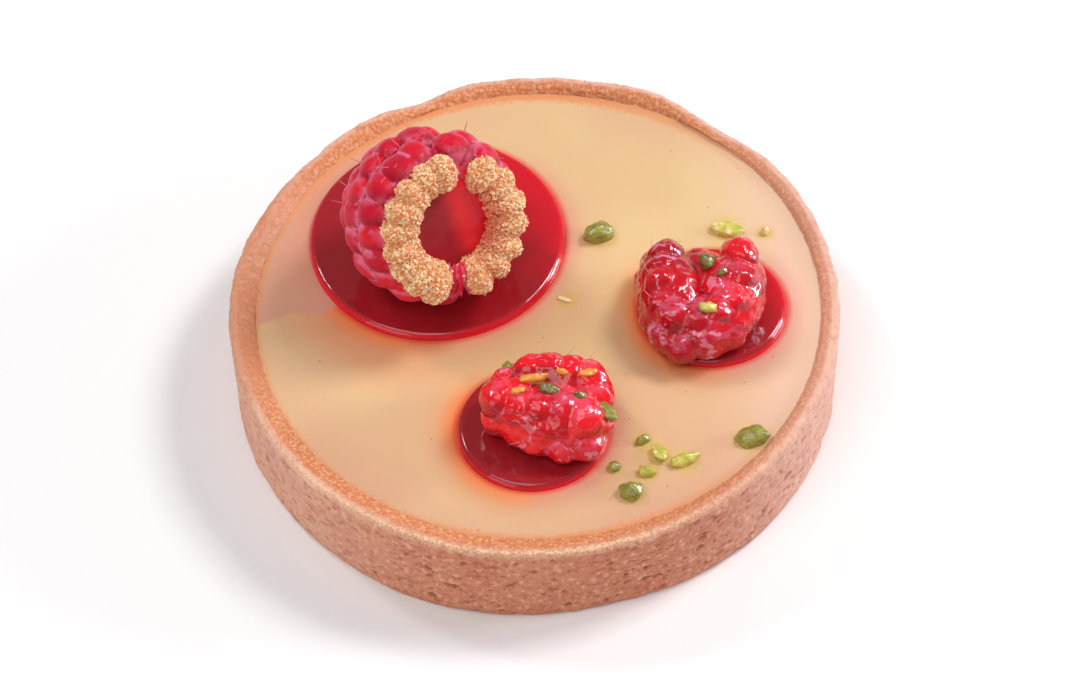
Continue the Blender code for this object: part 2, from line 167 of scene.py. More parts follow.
class Graph:
    """The nodes of one material, round its Principled shader."""

    def __init__(self, name: str) -> None:
        """Starts a material.

        Args:
            name: the material's name.
        """
        self.material = bpy.data.materials.new(name)
        self.material.use_nodes = True
        self.tree = self.material.node_tree
        self.shader = self.tree.nodes["Principled BSDF"]

    def plug(self, socket: bpy.types.NodeSocket, given: Input) -> None:
        """Links a value to a socket, or sets the socket's own number or colour.

        Args:
            socket: the input socket.
            given: the value, number or colour.
        """
        if isinstance(given, Value):
            self.tree.links.new(given.socket, socket)
        else:
            socket.default_value = given

    def node(
        self, kind: str, settings: dict | None = None, inputs: dict | None = None, output: int = 0
    ) -> Value:
        """Adds a node of any type.

        Args:
            kind: the node's type name.
            settings: the node's own settings, which are set first.
            inputs: values or links of its sockets, by name or number.
            output: the number of the output to return.

        Returns:
            The chosen output.
        """
        made = self.tree.nodes.new(kind)
        for key, setting in (settings or {}).items():
            setattr(made, key, setting)
        for key, given in (inputs or {}).items():
            self.plug(made.inputs[key], given)
        return Value(self, made.outputs[output])

    def set(self, **sockets: Input) -> None:
        """Sets the shader's sockets: Base_Color stands for the socket Base Color."""
        for name, given in sockets.items():
            self.plug(self.shader.inputs[name.replace("_", " ")], given)

    def place(self, stretch: Triple | None = None) -> Value:
        """The object's coordinates, stretched along its axes if asked.

        Args:
            stretch: the factors along X, Y and Z, or None.

        Returns:
            The coordinates.
        """
        found = self.node("ShaderNodeTexCoord", output=3)
        if not stretch:
            return found
        return self.node("ShaderNodeVectorMath", {"operation": "MULTIPLY"}, {0: found, 1: stretch})

    def split(self, vector: Value) -> tuple[Value, Value, Value]:
        """The three parts of a vector."""
        parts = self.node("ShaderNodeSeparateXYZ", inputs={0: vector}).socket.node
        return tuple(Value(self, output) for output in parts.outputs)

    def attribute(self, name: str) -> Value:
        """A number that the mesh carries at each point."""
        return self.node("ShaderNodeAttribute", {"attribute_name": name}, output=2)

    def noise(self, size: float, detail: float = 2.0, at: Value | None = None) -> Value:
        """Soft noise.

        Args:
            size: the size of its patches, in metres.
            detail: the number of finer layers.
            at: the coordinates, or None for the object's own.

        Returns:
            The noise, about 0.25 to 0.75.
        """
        inputs = {"Vector": at or self.place(), "Scale": 1.0 / size, "Detail": detail}
        return self.node("ShaderNodeTexNoise", inputs=inputs)

    def cells(self, size: float) -> Value:
        """The distance to the middle of the nearest of scattered cells of a size in metres."""
        return self.node("ShaderNodeTexVoronoi", inputs={"Vector": self.place(), "Scale": 1.0 / size})

    def mix(self, share: Input, first: Input, second: Input) -> Value:
        """Mixes two colours: share 0 is the first and 1 the second."""
        return self.node("ShaderNodeMix", {"data_type": "RGBA"}, {0: share, 6: first, 7: second}, 2)

    def bump(self, height: Value, depth: float, strength: float = 1.0, under: Value | None = None) -> Value:
        """A normal that is bent by a height.

        Args:
            height: the height, 0 to 1.
            depth: what a height of 1 stands for, in metres.
            strength: how much of it shows.
            under: the normal below it, from another bump.

        Returns:
            The bent normal.
        """
        inputs = {"Strength": strength, "Distance": depth, "Height": height}
        if under:
            inputs["Normal"] = under
        return self.node("ShaderNodeBump", inputs=inputs)


# ---- finishes -------------------------------------------------------------------------------------


@dataclass(frozen=True)
class Finish:
    """What a surface is made of. Each kind of finish shades its own graph."""

    name: str
    slot: str

    def shade(self, graph: Graph) -> None:
        """Builds the graph of the finish."""
        raise NotImplementedError

    @lru_cache(maxsize=None)
    def material(self) -> bpy.types.Material:
        """The finish as a material, made once.

        Returns:
            The material.
        """
        graph = Graph(self.name)
        self.shade(graph)
        return graph.material


@dataclass(frozen=True)
class PastryFinish(Finish):
    """Baked short crust: tan crumb, brown pores, an orange inner slope, a pale crest, a film of glaze."""

    tan: Colour = srgb(228, 171, 144)
    pink: Colour = srgb(222, 162, 142)
    pale: Colour = srgb(250, 214, 176)
    toast: Colour = srgb(210, 126, 78)
    baked: Colour = srgb(196, 108, 66)
    brown: Colour = srgb(134, 66, 40)
    glaze_and_painted_reflection: Colour = srgb(206, 136, 98)
    crumb: Colour = srgb(240, 194, 172)
    shaded: Colour = srgb(224, 180, 162)

    def shade(self, graph: Graph) -> None:
        """Mixes the crumb's colours by its own relief and by fine noise.

        Args:
            graph: the material's graph.
        """
        slope, crest, film_and_painted_reflection = (graph.attribute(name) for name in ("slope", "crest", "film_and_painted_reflection"))
        pore, foot = graph.attribute("pore"), graph.attribute("foot")
        broad, grain, fleck = graph.noise(7 * MM), graph.noise(0.7 * MM, 3), graph.noise(0.28 * MM, 1)
        mottle = graph.noise(1.5 * MM, 3, graph.place((1.0, 1.0, 2.2)))
        x, y, _ = graph.split(graph.place())
        colour = graph.mix(broad.ramp(0.3, 0.7), self.tan, self.pink)
        front = (x * 0.1 - y).ramp(20 * MM, 36.5 * MM) * 0.62
        colour = graph.mix(front, colour, self.baked)
        colour = graph.mix(mottle.ramp(0.52, 0.66) * 0.5, colour, self.baked)
        colour = graph.mix(grain.ramp(0.53, 0.7) * 0.5, colour, self.crumb)
        colour = graph.mix(grain.ramp(0.45, 0.3) * 0.35, colour, self.brown)
        slits = graph.noise(0.55 * MM, 2, graph.place((1.0, 1.0, 2.0))) + mottle * 0.5
        colour = graph.mix(slits.ramp(0.9, 0.98) * front, colour, self.brown)
        colour = graph.mix(foot * 0.75, colour, self.toast)
        sandy = graph.mix(graph.noise(0.4 * MM, 3).ramp(0.42, 0.66) * 0.38, self.toast, self.pale)
        sandy = graph.mix(grain.ramp(0.46, 0.34) * 0.45, sandy, self.baked)
        colour = graph.mix(slope, colour, sandy)
        # painted light: a cooler, paler tint towards the right side, as a cool light from the right would
        # give
        colour = graph.mix(x.ramp(16 * MM, 37 * MM) * 0.4, colour, self.shaded)
        crest = crest * x.ramp(44 * MM, 4 * MM)
        colour = graph.mix(crest * (0.35 + fleck.ramp(0.42, 0.6) * 0.55), colour, self.pale)
        colour = graph.mix(pore * (0.35 + grain.ramp(0.6, 0.4) * 0.5), colour, self.brown)
        colour = graph.mix(film_and_painted_reflection * 0.75, colour, self.glaze_and_painted_reflection)
        bump = graph.bump(grain, 0.12 * MM, 0.5)
        graph.set(
            Base_Color=colour,
            Roughness=0.82 - film_and_painted_reflection * 0.3,
            Coat_Weight=film_and_painted_reflection * 0.2,
            Coat_Roughness=0.3,
            Specular_IOR_Level=0.3,
            Subsurface_Weight=0.12,
            Subsurface_Radius=(1.0, 0.5, 0.3),
            Subsurface_Scale=1.0 * MM,
            Normal=graph.bump(fleck, 0.08 * MM, 0.45, bump),
        )


@dataclass(frozen=True)
class CreamFinish(Finish):
    """Set lemon cream under clear glaze, stained where the coulis bleeds into it, with painted light and
    shade round the discs and on the right, and a painted reflection on the left.
    """

    discs: tuple["Disc", ...] = ()
    chips: tuple["Chip", ...] = ()
    yellow: Colour = srgb(230, 197, 145)
    peach: Colour = srgb(216, 160, 132)
    painted_orange_glow: Colour = srgb(250, 122, 38)
    painted_pink_reflection: Colour = srgb(226, 116, 128)
    red: Colour = srgb(232, 70, 50)
    speck: Colour = srgb(150, 92, 66)
    stain: Colour = srgb(216, 186, 66)
    painted_shade: Colour = srgb(190, 122, 92)
    glaze_and_painted_reflection: Colour = srgb(216, 158, 134)
    toast: Colour = srgb(232, 148, 92)
    painted_cool_light: Colour = srgb(246, 208, 186)

    def shade(self, graph: Graph) -> None:
        """Lays stains round chips and discs, painted light and shade round the discs and on the right, a
        painted reflection on the left and the toasted edge over the cream's own colours.

        Args:
            graph: the material's graph.
        """
        x, y, _ = graph.split(graph.place())
        broad = graph.noise(16 * MM, 1)
        front = (y * -1.0).ramp(-8 * MM, 30 * MM)
        _, _, radius = around(x, y, (0.0, 0.0))
        peachy = broad.ramp(0.4, 0.64) * 0.2 + front * 0.35 + radius.ramp(27 * MM, 34.5 * MM) * 0.25
        colour = graph.mix(peachy.least(1.0), self.yellow, self.peach)
        # painted light: paler and cooler towards the right, as a cool light from the right would make it
        colour = graph.mix(x.ramp(18 * MM, 34 * MM) * 0.65, colour, self.painted_cool_light)
        for chip in self.chips:
            near = around(x, y, (chip.place[0] * MM, chip.place[1] * MM))[2]
            near = near.ramp((chip.half_sizes[0] + 0.9) * MM, 0.4 * MM)
            colour = graph.mix(near * 0.6, colour, self.stain)
        for disc in self.discs:
            from_x, from_y, away = around(x, y, disc.middle)
            away = away - disc.radius
            left = (from_x * -0.94 + from_y * -0.34) / disc.radius
            right = (from_x * 0.94 + from_y * -0.34) / disc.radius
            low = from_y / (-1.0 * disc.radius)
            # painted light round each disc: an orange glow to the left where light would come through the
            # gel, a pink reflection of the gel to the right, and painted shade below it
            halo, wide = away.ramp(3.2 * MM, -0.6 * MM), away.ramp(0.6 * disc.radius, 0.0)
            colour = graph.mix(wide * left.ramp(0.2, 1.0) * (disc.radius / (34 * MM)), colour, self.painted_orange_glow)
            colour = graph.mix(wide * low.ramp(0.2, 1.0) * 0.45, colour, self.painted_shade)
            colour = graph.mix(halo * left.ramp(-0.1, 0.9) * 0.85, colour, self.painted_orange_glow)
            colour = graph.mix(halo * right.ramp(0.0, 1.0) * 0.5, colour, self.painted_pink_reflection)
            colour = graph.mix(away.ramp(0.9 * MM, 0.0) * 0.8, colour, self.red)
        # painted reflection: a pinker patch on the left, where the glaze would mirror a light
        film_and_painted_reflection = x.ramp(-12 * MM, -20 * MM)
        film_and_painted_reflection = film_and_painted_reflection * (y - x * 0.35 + (graph.noise(5 * MM, 1) - 0.5) * 7 * MM).ramp(10.4 * MM, 11.6 * MM)
        colour = graph.mix(film_and_painted_reflection * (0.7 + broad * 0.3), colour, self.glaze_and_painted_reflection)
        edge = radius + graph.noise(0.6 * MM, 2) * 1.6 * MM
        edge = edge.ramp(34.2 * MM, 35.3 * MM) * x.ramp(34 * MM, 6 * MM)
        colour = graph.mix(edge * 0.9, colour, self.toast)
        specks = graph.cells(3.1 * MM)
        colour = graph.mix(specks.ramp(0.05, 0.025) * 0.6, colour, self.speck)
        graph.set(
            Base_Color=colour,
            Roughness=0.45,
            Specular_IOR_Level=0.3,
            Coat_Weight=0.35,
            Coat_Roughness=0.26,
            Subsurface_Weight=0.25,
            Subsurface_Radius=(1.0, 0.6, 0.3),
            Subsurface_Scale=2.5 * MM,
            Normal=graph.bump(graph.noise(5 * MM, 2), 0.25 * MM, 0.25),
        )


@dataclass(frozen=True)
class GelFinish(Finish):
    """Set raspberry coulis: deep red, with painted light, brighter where light would come through, and a
    painted glow along the edge.
    """

    middle: Pair = (0.0, 0.0)
    radius: float = 10 * MM
    deep: Colour = srgb(160, 29, 37)
    bright: Colour = srgb(216, 24, 42)
    edge: Colour = srgb(230, 22, 44)
    shine: float = 1.0
    dusk: float = 0.25
    dawn: float = 0.95

    def shade(self, graph: Graph) -> None:
        """Paints light and shade across the disc, from deep to bright, and a glow at its edge.

        Args:
            graph: the material's graph.
        """
        x, y, _ = graph.split(graph.place())
        from_x, from_y, away = around(x, y, self.middle)
        along = (from_x * 0.86 + from_y * 0.5) / self.radius
        out = away / self.radius
        cloud = graph.noise(4 * MM, 2)
        lit = along + (cloud - 0.5) * 0.5
        # painted light and shade: deep on one side, bright where light would come through the gel
        colour = graph.mix(lit.ramp(self.dusk, self.dawn), self.deep, self.bright)
        # painted glow along the edge, where light would leave the gel
        colour = graph.mix(out.ramp(0.955, 1.0), colour, self.edge)
        specks = graph.bump(graph.cells(2.6 * MM).ramp(0.05, 0.0), 0.12 * MM, 0.8)
        graph.set(
            Base_Color=colour,
            Roughness=0.2,
            Specular_IOR_Level=0.15,
            Coat_Weight=self.shine,
            Coat_IOR=1.38,
            Coat_Roughness=0.04,
            Subsurface_Weight=0.2,
            Subsurface_Radius=(1.0, 0.15, 0.15),
            Subsurface_Scale=2.5 * MM,
            Normal=graph.bump(cloud, 0.2 * MM, 0.2, specks),
        )


@dataclass(frozen=True)
class BerryFinish(Finish):
    """Raspberry flesh: red drupelets, painted shade in the creases and on the lower sides, pink bloom with
    painted sheen on the edges, a painted highlight on the upper sides, wet with painted glints if torn.
    """

    flesh: Colour = srgb(196, 18, 48)
    bright: Colour = srgb(226, 26, 44)
    painted_crease_shade: Colour = srgb(132, 8, 28)
    bloom_and_painted_sheen: Colour = srgb(232, 118, 152)
    dust: Colour = srgb(236, 160, 98)
    painted_wet_glint: Colour = srgb(244, 176, 214)
    wetness_and_glints: float = 0.0
    painted_rim_sheen: float = 1.0
    painted_and_shader_sheen: float = 0.52
    painted_light: float = 0.55

    def shade(self, graph: Graph) -> None:
        """Works from each point's place on its drupelet, which the mesh carries.

        Args:
            graph: the material's graph.
        """
        groove, crown = graph.attribute("groove"), graph.attribute("crown")
        tint, gilt, painted_light = (graph.attribute(name) for name in ("tint", "gilt", "painted_light"))
        soft, fine = graph.noise(1.4 * MM, 2), graph.noise(0.35 * MM, 2)
        colour = graph.mix(tint.ramp(-0.3, 1.3), self.flesh, self.bright)
        # painted sheen on each drupelet's sides, away from its crown
        painted_and_shader_sheen = crown.ramp(1.0, 0.55) * soft.ramp(0.42, 0.68)
        # painted shade on the side of each drupelet turned from the light, painted highlight on the side
        # turned to it
        colour = graph.mix(painted_light.ramp(0.0, -0.5) * 0.6, colour, self.painted_crease_shade)
        colour = graph.mix(painted_light.ramp(0.18, 0.5) * soft.ramp(0.36, 0.56) * self.painted_light, colour, self.bloom_and_painted_sheen)
        # painted rim sheen along the creases' edges, broken by noise; both sheens are painted in the bloom's
        # pink
        rim = groove.ramp(0.02, 0.14) * groove.ramp(0.38, 0.2) * soft.ramp(0.44, 0.62)
        colour = graph.mix((painted_and_shader_sheen * self.painted_and_shader_sheen + rim * 0.7 * self.painted_rim_sheen).least(0.8), colour, self.bloom_and_painted_sheen)
        # painted shade in the creases
        colour = graph.mix(groove.ramp(0.2, 0.5) * 0.9, colour, self.painted_crease_shade)
        # painted glints on the wet, torn berries
        if self.wetness_and_glints:
            glint = graph.noise(1.3 * MM, 3, graph.place((1.0, 1.6, 1.0)))
            glint = glint + (graph.noise(4 * MM, 0) - 0.5) * 0.5
            colour = graph.mix(glint.ramp(0.63, 0.7) * groove.ramp(0.3, 0.0) * 0.45, colour, self.painted_wet_glint)
        colour = graph.mix(gilt, colour, self.dust)
        wrinkle = graph.bump(soft, 0.3 * MM, 0.35 + 0.5 * self.wetness_and_glints)
        graph.set(
            Base_Color=colour,
            Roughness=(0.4 - 0.2 * self.wetness_and_glints) + fine * 0.12,
            Specular_IOR_Level=0.12,
            Coat_Weight=0.1 + 0.9 * self.wetness_and_glints,
            Coat_IOR=1.42,
            Coat_Roughness=0.06,
            Sheen_Weight=0.5 * self.painted_and_shader_sheen,
            Sheen_Roughness=0.35,
            Sheen_Tint=srgb(255, 170, 215),
            Subsurface_Weight=0.3,
            Subsurface_Radius=(1.0, 0.12, 0.12),
            Subsurface_Scale=1.4 * MM,
            Normal=graph.bump(fine, 0.1 * MM, 0.3, wrinkle),
        )


@dataclass(frozen=True)
class CrumbFinish(Finish):
    """Golden biscuit crumb, each grain of its own tone."""

    light: Colour = srgb(255, 224, 172)
    dark: Colour = srgb(236, 136, 80)
    red: Colour = srgb(222, 60, 36)

    def shade(self, graph: Graph) -> None:
        """Gives every grain its tone, red where the coulis has soaked it.

        Args:
            graph: the material's graph.
        """
        tone = graph.mix(graph.attribute("tint").ramp(0.0, 0.9), self.dark, self.light)
        graph.set(
            Base_Color=graph.mix(graph.attribute("stain"), tone, self.red),
            Roughness=0.3,
            Subsurface_Weight=0.2,
            Subsurface_Radius=(1.0, 0.6, 0.3),
            Subsurface_Scale=0.5 * MM,
            Normal=graph.bump(graph.noise(0.2 * MM, 1), 0.05 * MM, 0.5),
        )


@dataclass(frozen=True)
class NutFinish(Finish):
    """Chopped pistachio, from dark olive over green and lime to amber, glazed all over."""

    tones: tuple[tuple[float, Colour], ...] = (
        (0.0, srgb(100, 84, 26)),
        (0.3, srgb(140, 136, 42)),
        (0.6, srgb(190, 186, 68)),
        (0.76, srgb(222, 208, 92)),
        (0.88, srgb(246, 228, 190)),
        (1.0, srgb(238, 150, 44)),
    )
    flakes: Colour = srgb(226, 220, 140)

    def shade(self, graph: Graph) -> None:
        """Colours each chip by its tone, changed in patches, with pale flakes.

        Args:
            graph: the material's graph.
        """
        patch, fine = graph.noise(0.9 * MM, 3), graph.noise(0.25 * MM, 2)
        tone = graph.attribute("tone") + (patch - 0.5) * 0.7
        ramp = graph.node("ShaderNodeValToRGB", inputs={0: tone})
        stops = ramp.socket.node.color_ramp.elements
        while len(stops) < len(self.tones):
            stops.new(1.0)
        for stop, (position, colour) in zip(stops, self.tones):
            stop.position = position
            stop.color = colour
        graph.set(
            Base_Color=graph.mix(fine.ramp(0.55, 0.75) * 0.5, ramp, self.flakes),
            Roughness=0.35,
            Coat_Weight=0.6,
            Coat_Roughness=0.15,
            Subsurface_Weight=0.1,
            Subsurface_Radius=(0.8, 1.0, 0.3),
            Subsurface_Scale=0.8 * MM,
            Normal=graph.bump(fine, 0.12 * MM, 0.6),
        )


@dataclass(frozen=True)
class PlainFinish(Finish):
    """One colour with a slight unevenness, for hairs and the studio's floor."""

    colour: Colour = (0.8, 0.8, 0.8, 1.0)
    second: Colour = (0.75, 0.75, 0.75, 1.0)
    size: float = 1 * MM
    roughness: float = 0.6

    def shade(self, graph: Graph) -> None:
        """Mixes the two colours by soft noise."""
        blend = graph.mix(graph.noise(self.size, 1).ramp(0.4, 0.6), self.colour, self.second)
        graph.set(Base_Color=blend, Roughness=self.roughness)


HAIR = PlainFinish(
    "raspberry_hair", "raspberry", colour=srgb(238, 140, 150), second=srgb(214, 120, 110), size=2 * MM
)


# ---- modelling ------------------------------------------------------------------------------------


def deselect() -> None:
    """Deselects every object."""
    bpy.ops.object.select_all(action="DESELECT")


def hash_of(place: Vector) -> float:
    """A fixed number from 0 to 1 for a place."""
    return math.sin(place.dot(Vector((127.1, 311.7, 74.7)))) * 43758.5453 % 1.0


def smooth_step(start: float, end: float, value: float) -> float:
    """Rises smoothly from 0 at start to 1 at end."""
    share = min(1.0, max(0.0, (value - start) / (end - start)))
    return share * share * (3.0 - 2.0 * share)


def ripple(place: Vector, size: float, relief: float) -> float:
    """Soft unevenness at a place, from noise of a size and a relief in metres."""
    return noise.noise(place / size) * relief


def resampled(profile: Profile, pitch: float) -> Profile:
    """Adds points along a profile so that none are farther apart than the pitch.

    Args:
        profile: (radius, height) points.
        pitch: the widest gap to leave, in metres.

    Returns:
        The finer profile.
    """
    points = [profile[0]]
    for (r0, z0), (r1, z1) in zip(profile, profile[1:]):
        count = max(1, math.ceil(math.hypot(r1 - r0, z1 - z0) / pitch))
        points += [(r0 + (r1 - r0) * n / count, z0 + (z1 - z0) * n / count) for n in range(1, count + 1)]
    return points


class Piece:
    """One mesh in the making: shaped step by step, then dressed in its finish."""

    def __init__(self, body: bpy.types.Object, name: str) -> None:
        """Takes over a new object.

        Args:
            body: the Blender object.
            name: its name from now on.
        """
        self.body = body
        self.rename(name)

    def rename(self, name: str) -> None:
        """Names the object and its mesh."""
        self.body.name = name
        self.body.data.name = name

    @classmethod
    def ball(cls, name: str, subdivisions: int) -> "Piece":
        """A unit ball of triangles round the origin.

        Args:
            name: the piece's name.
            subdivisions: how fine it is; 1 gives 20 triangles.

        Returns:
            The ball.
        """
        deselect()
        bpy.ops.mesh.primitive_ico_sphere_add(subdivisions=subdivisions, radius=1.0)
        return cls(bpy.context.object, name)

    @classmethod
    def lathe(cls, name: str, profile: Profile, steps: int) -> "Piece":
        """A solid turned about Z: one point is extruded along the profile, and the line is spun.

        Args:
            name: the piece's name.
            profile: (radius, height) points that start and end on the axis.
            steps: the number of segments all the way round.

        Returns:
            The closed solid.
        """
        deselect()
        bpy.ops.mesh.primitive_plane_add(size=MM)
        made = cls(bpy.context.object, name)
        with made.editing():
            bpy.ops.mesh.merge(type="CENTER")
            bpy.ops.transform.translate(value=(profile[0][0], 0.0, profile[0][1]))
            for (r0, z0), (r1, z1) in zip(profile, profile[1:]):
                step = (r1 - r0, 0.0, z1 - z0)
                bpy.ops.mesh.extrude_region_move(TRANSFORM_OT_translate={"value": step})
        made.modify("SCREW", steps=steps, render_steps=steps, use_merge_vertices=True, merge_threshold=WELD)
        with made.editing():
            bpy.ops.mesh.remove_doubles(threshold=WELD)
            bpy.ops.mesh.normals_make_consistent(inside=False)
        return made

    @contextmanager
    def editing(self) -> Iterator[None]:
        """Edit mode on this piece alone, with everything selected.

        Returns:
            A context. Leaving it goes back to object mode.
        """
        self.activate()
        bpy.ops.object.mode_set(mode="EDIT")
        bpy.ops.mesh.select_all(action="SELECT")
        yield
        bpy.ops.object.mode_set(mode="OBJECT")

    def activate(self) -> None:
        """Makes this piece the only one selected, and the active one."""
        deselect()
        self.body.select_set(True)
        bpy.context.view_layer.objects.active = self.body

    def copy(self, name: str, matrix: Matrix) -> "Piece":
        """A copy with its own mesh, moved by the matrix.

        Args:
            name: the copy's name.
            matrix: where its mesh goes.

        Returns:
            The copy.
        """
        body = self.body.copy()
        body.data = self.body.data.copy()
        body.data.transform(matrix)
        bpy.context.scene.collection.objects.link(body)
        return Piece(body, name)

    def remove(self) -> None:
        """Takes the piece out of the scene."""
        bpy.data.objects.remove(self.body)

    def absorb(self, others: Sequence["Piece"]) -> "Piece":
        """Joins other pieces into this one.

        Args:
            others: the pieces to join in.

        Returns:
            This piece.
        """
        self.activate()
        for other in others:
            other.body.select_set(True)
        bpy.ops.object.join()
        return self

    def modify(self, kind: str, **settings: object) -> "Piece":
        """Adds a modifier and applies it.

        Args:
            kind: the modifier's type.
            settings: its settings.

        Returns:
            This piece.
        """
        self.activate()
        modifier = self.body.modifiers.new(kind.title(), kind)
        for key, setting in settings.items():
            setattr(modifier, key, setting)
        bpy.ops.object.modifier_apply(modifier=modifier.name)
        return self

    def cut_by(self, cutters: Sequence["Piece"]) -> "Piece":
        """Subtracts other pieces, which go.

        Args:
            cutters: the pieces to subtract.

        Returns:
            This piece.
        """
        for cutter in cutters:
            self.modify("BOOLEAN", operation="DIFFERENCE", object=cutter.body, solver="EXACT")
            cutter.remove()
        return self

    def slice_off(self, place: Vector, normal: Vector) -> "Piece":
        """Cuts away all on the normal's side of a plane and closes the cut.

        Args:
            place: a point of the plane.
            normal: points to the side that goes.

        Returns:
            This piece.
        """
        with self.editing():
            bpy.ops.mesh.bisect(plane_co=place, plane_no=normal, use_fill=True, clear_outer=True)
        return self

    def transform(self, matrix: Matrix) -> "Piece":
        """Moves the mesh, not the object."""
        self.body.data.transform(matrix)
        return self

    def points(self, what: str = "co") -> np.ndarray:
        """The mesh's points, one row each, or what else its vertices hold three numbers of.

        Args:
            what: the name of the vertices' property.

        Returns:
            The numbers, three in a row.
        """
        flat = np.empty(len(self.body.data.vertices) * 3)
        self.body.data.vertices.foreach_get(what, flat)
        return flat.reshape(-1, 3)

    def normals(self) -> np.ndarray:
        """The normal at each point."""
        return self.points("normal")

    def place_points(self, points: np.ndarray) -> "Piece":
        """Moves every point of the mesh to a new place.

        Args:
            points: the new places, one row each.

        Returns:
            This piece.
        """
        self.body.data.vertices.foreach_set("co", points.ravel())
        self.body.data.update()
        return self

    def roughen(self, relief: Callable[[Vector], float]) -> "Piece":
        """Moves each point along its normal by a relief that depends on its place.

        Args:
            relief: gives the height at a place, both in metres.

        Returns:
            This piece.
        """
        points, normals = self.points(), self.normals()
        heights = np.array([relief(Vector(point)) for point in points])
        return self.place_points(points + normals * heights[:, None])

    def paint(self, name: str, amounts: np.ndarray) -> "Piece":
        """Stores a number at each point, for the finish to read.

        Args:
            name: the attribute's name.
            amounts: one number for each point.

        Returns:
            This piece.
        """
        layer = self.body.data.attributes.new(name, "FLOAT", "POINT")
        layer.data.foreach_set("value", np.asarray(amounts, np.float32))
        return self

    def smooth(self, degrees: float = 60.0) -> "Piece":
        """Shades the piece smooth, except over edges sharper than the angle.

        Args:
            degrees: the sharpest angle that is still smoothed.

        Returns:
            This piece.
        """
        self.activate()
        bpy.ops.object.shade_smooth_by_angle(angle=math.radians(degrees))
        return self

    def dress(self, finish: Finish, *nodes: str) -> None:
        """Gives the piece its finish and its place in the frame.

        Args:
            finish: what the piece is made of.
            nodes: the nodes that it stands for.
        """
        self.body.data.materials.clear()
        self.body.data.materials.append(finish.material())
        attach(self.body, BODY)
        if nodes:
            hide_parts(*nodes)
        self.body.data.calc_loop_triangles()
        log.info("%s: %d triangles, %s", self.body.name, len(self.body.data.loop_triangles), finish.name)


def scatter(name: str, pattern: Piece, matrices: Sequence[Matrix], **amounts: Sequence[float]) -> Piece:
    """Copies a small pattern many times into one piece.

    Args:
        name: the piece's name.
        pattern: the mesh to repeat, which goes.
        matrices: where each copy goes.
        amounts: named numbers, one for each copy, that its points carry.

    Returns:
        The joined piece.
    """
    points = pattern.points()
    faces = [tuple(face.vertices) for face in pattern.body.data.polygons]
    spots = np.array(matrices)
    placed = np.einsum("nij,pj->npi", spots[:, :3, :3], points) + spots[:, None, :3, 3]
    shifts = range(0, len(spots) * len(points), len(points))
    joined = [tuple(corner + shift for corner in face) for shift in shifts for face in faces]
    mesh = bpy.data.meshes.new(name)
    mesh.from_pydata(placed.reshape(-1, 3).tolist(), [], joined)
    body = bpy.data.objects.new(name, mesh)
    bpy.context.scene.collection.objects.link(body)
    pattern.remove()
    piece = Piece(body, name)
    for key, values in amounts.items():
        piece.paint(key, np.repeat(values, len(points)))
    return piece


# ---- the shell and the cream ----------------------------------------------------------------------


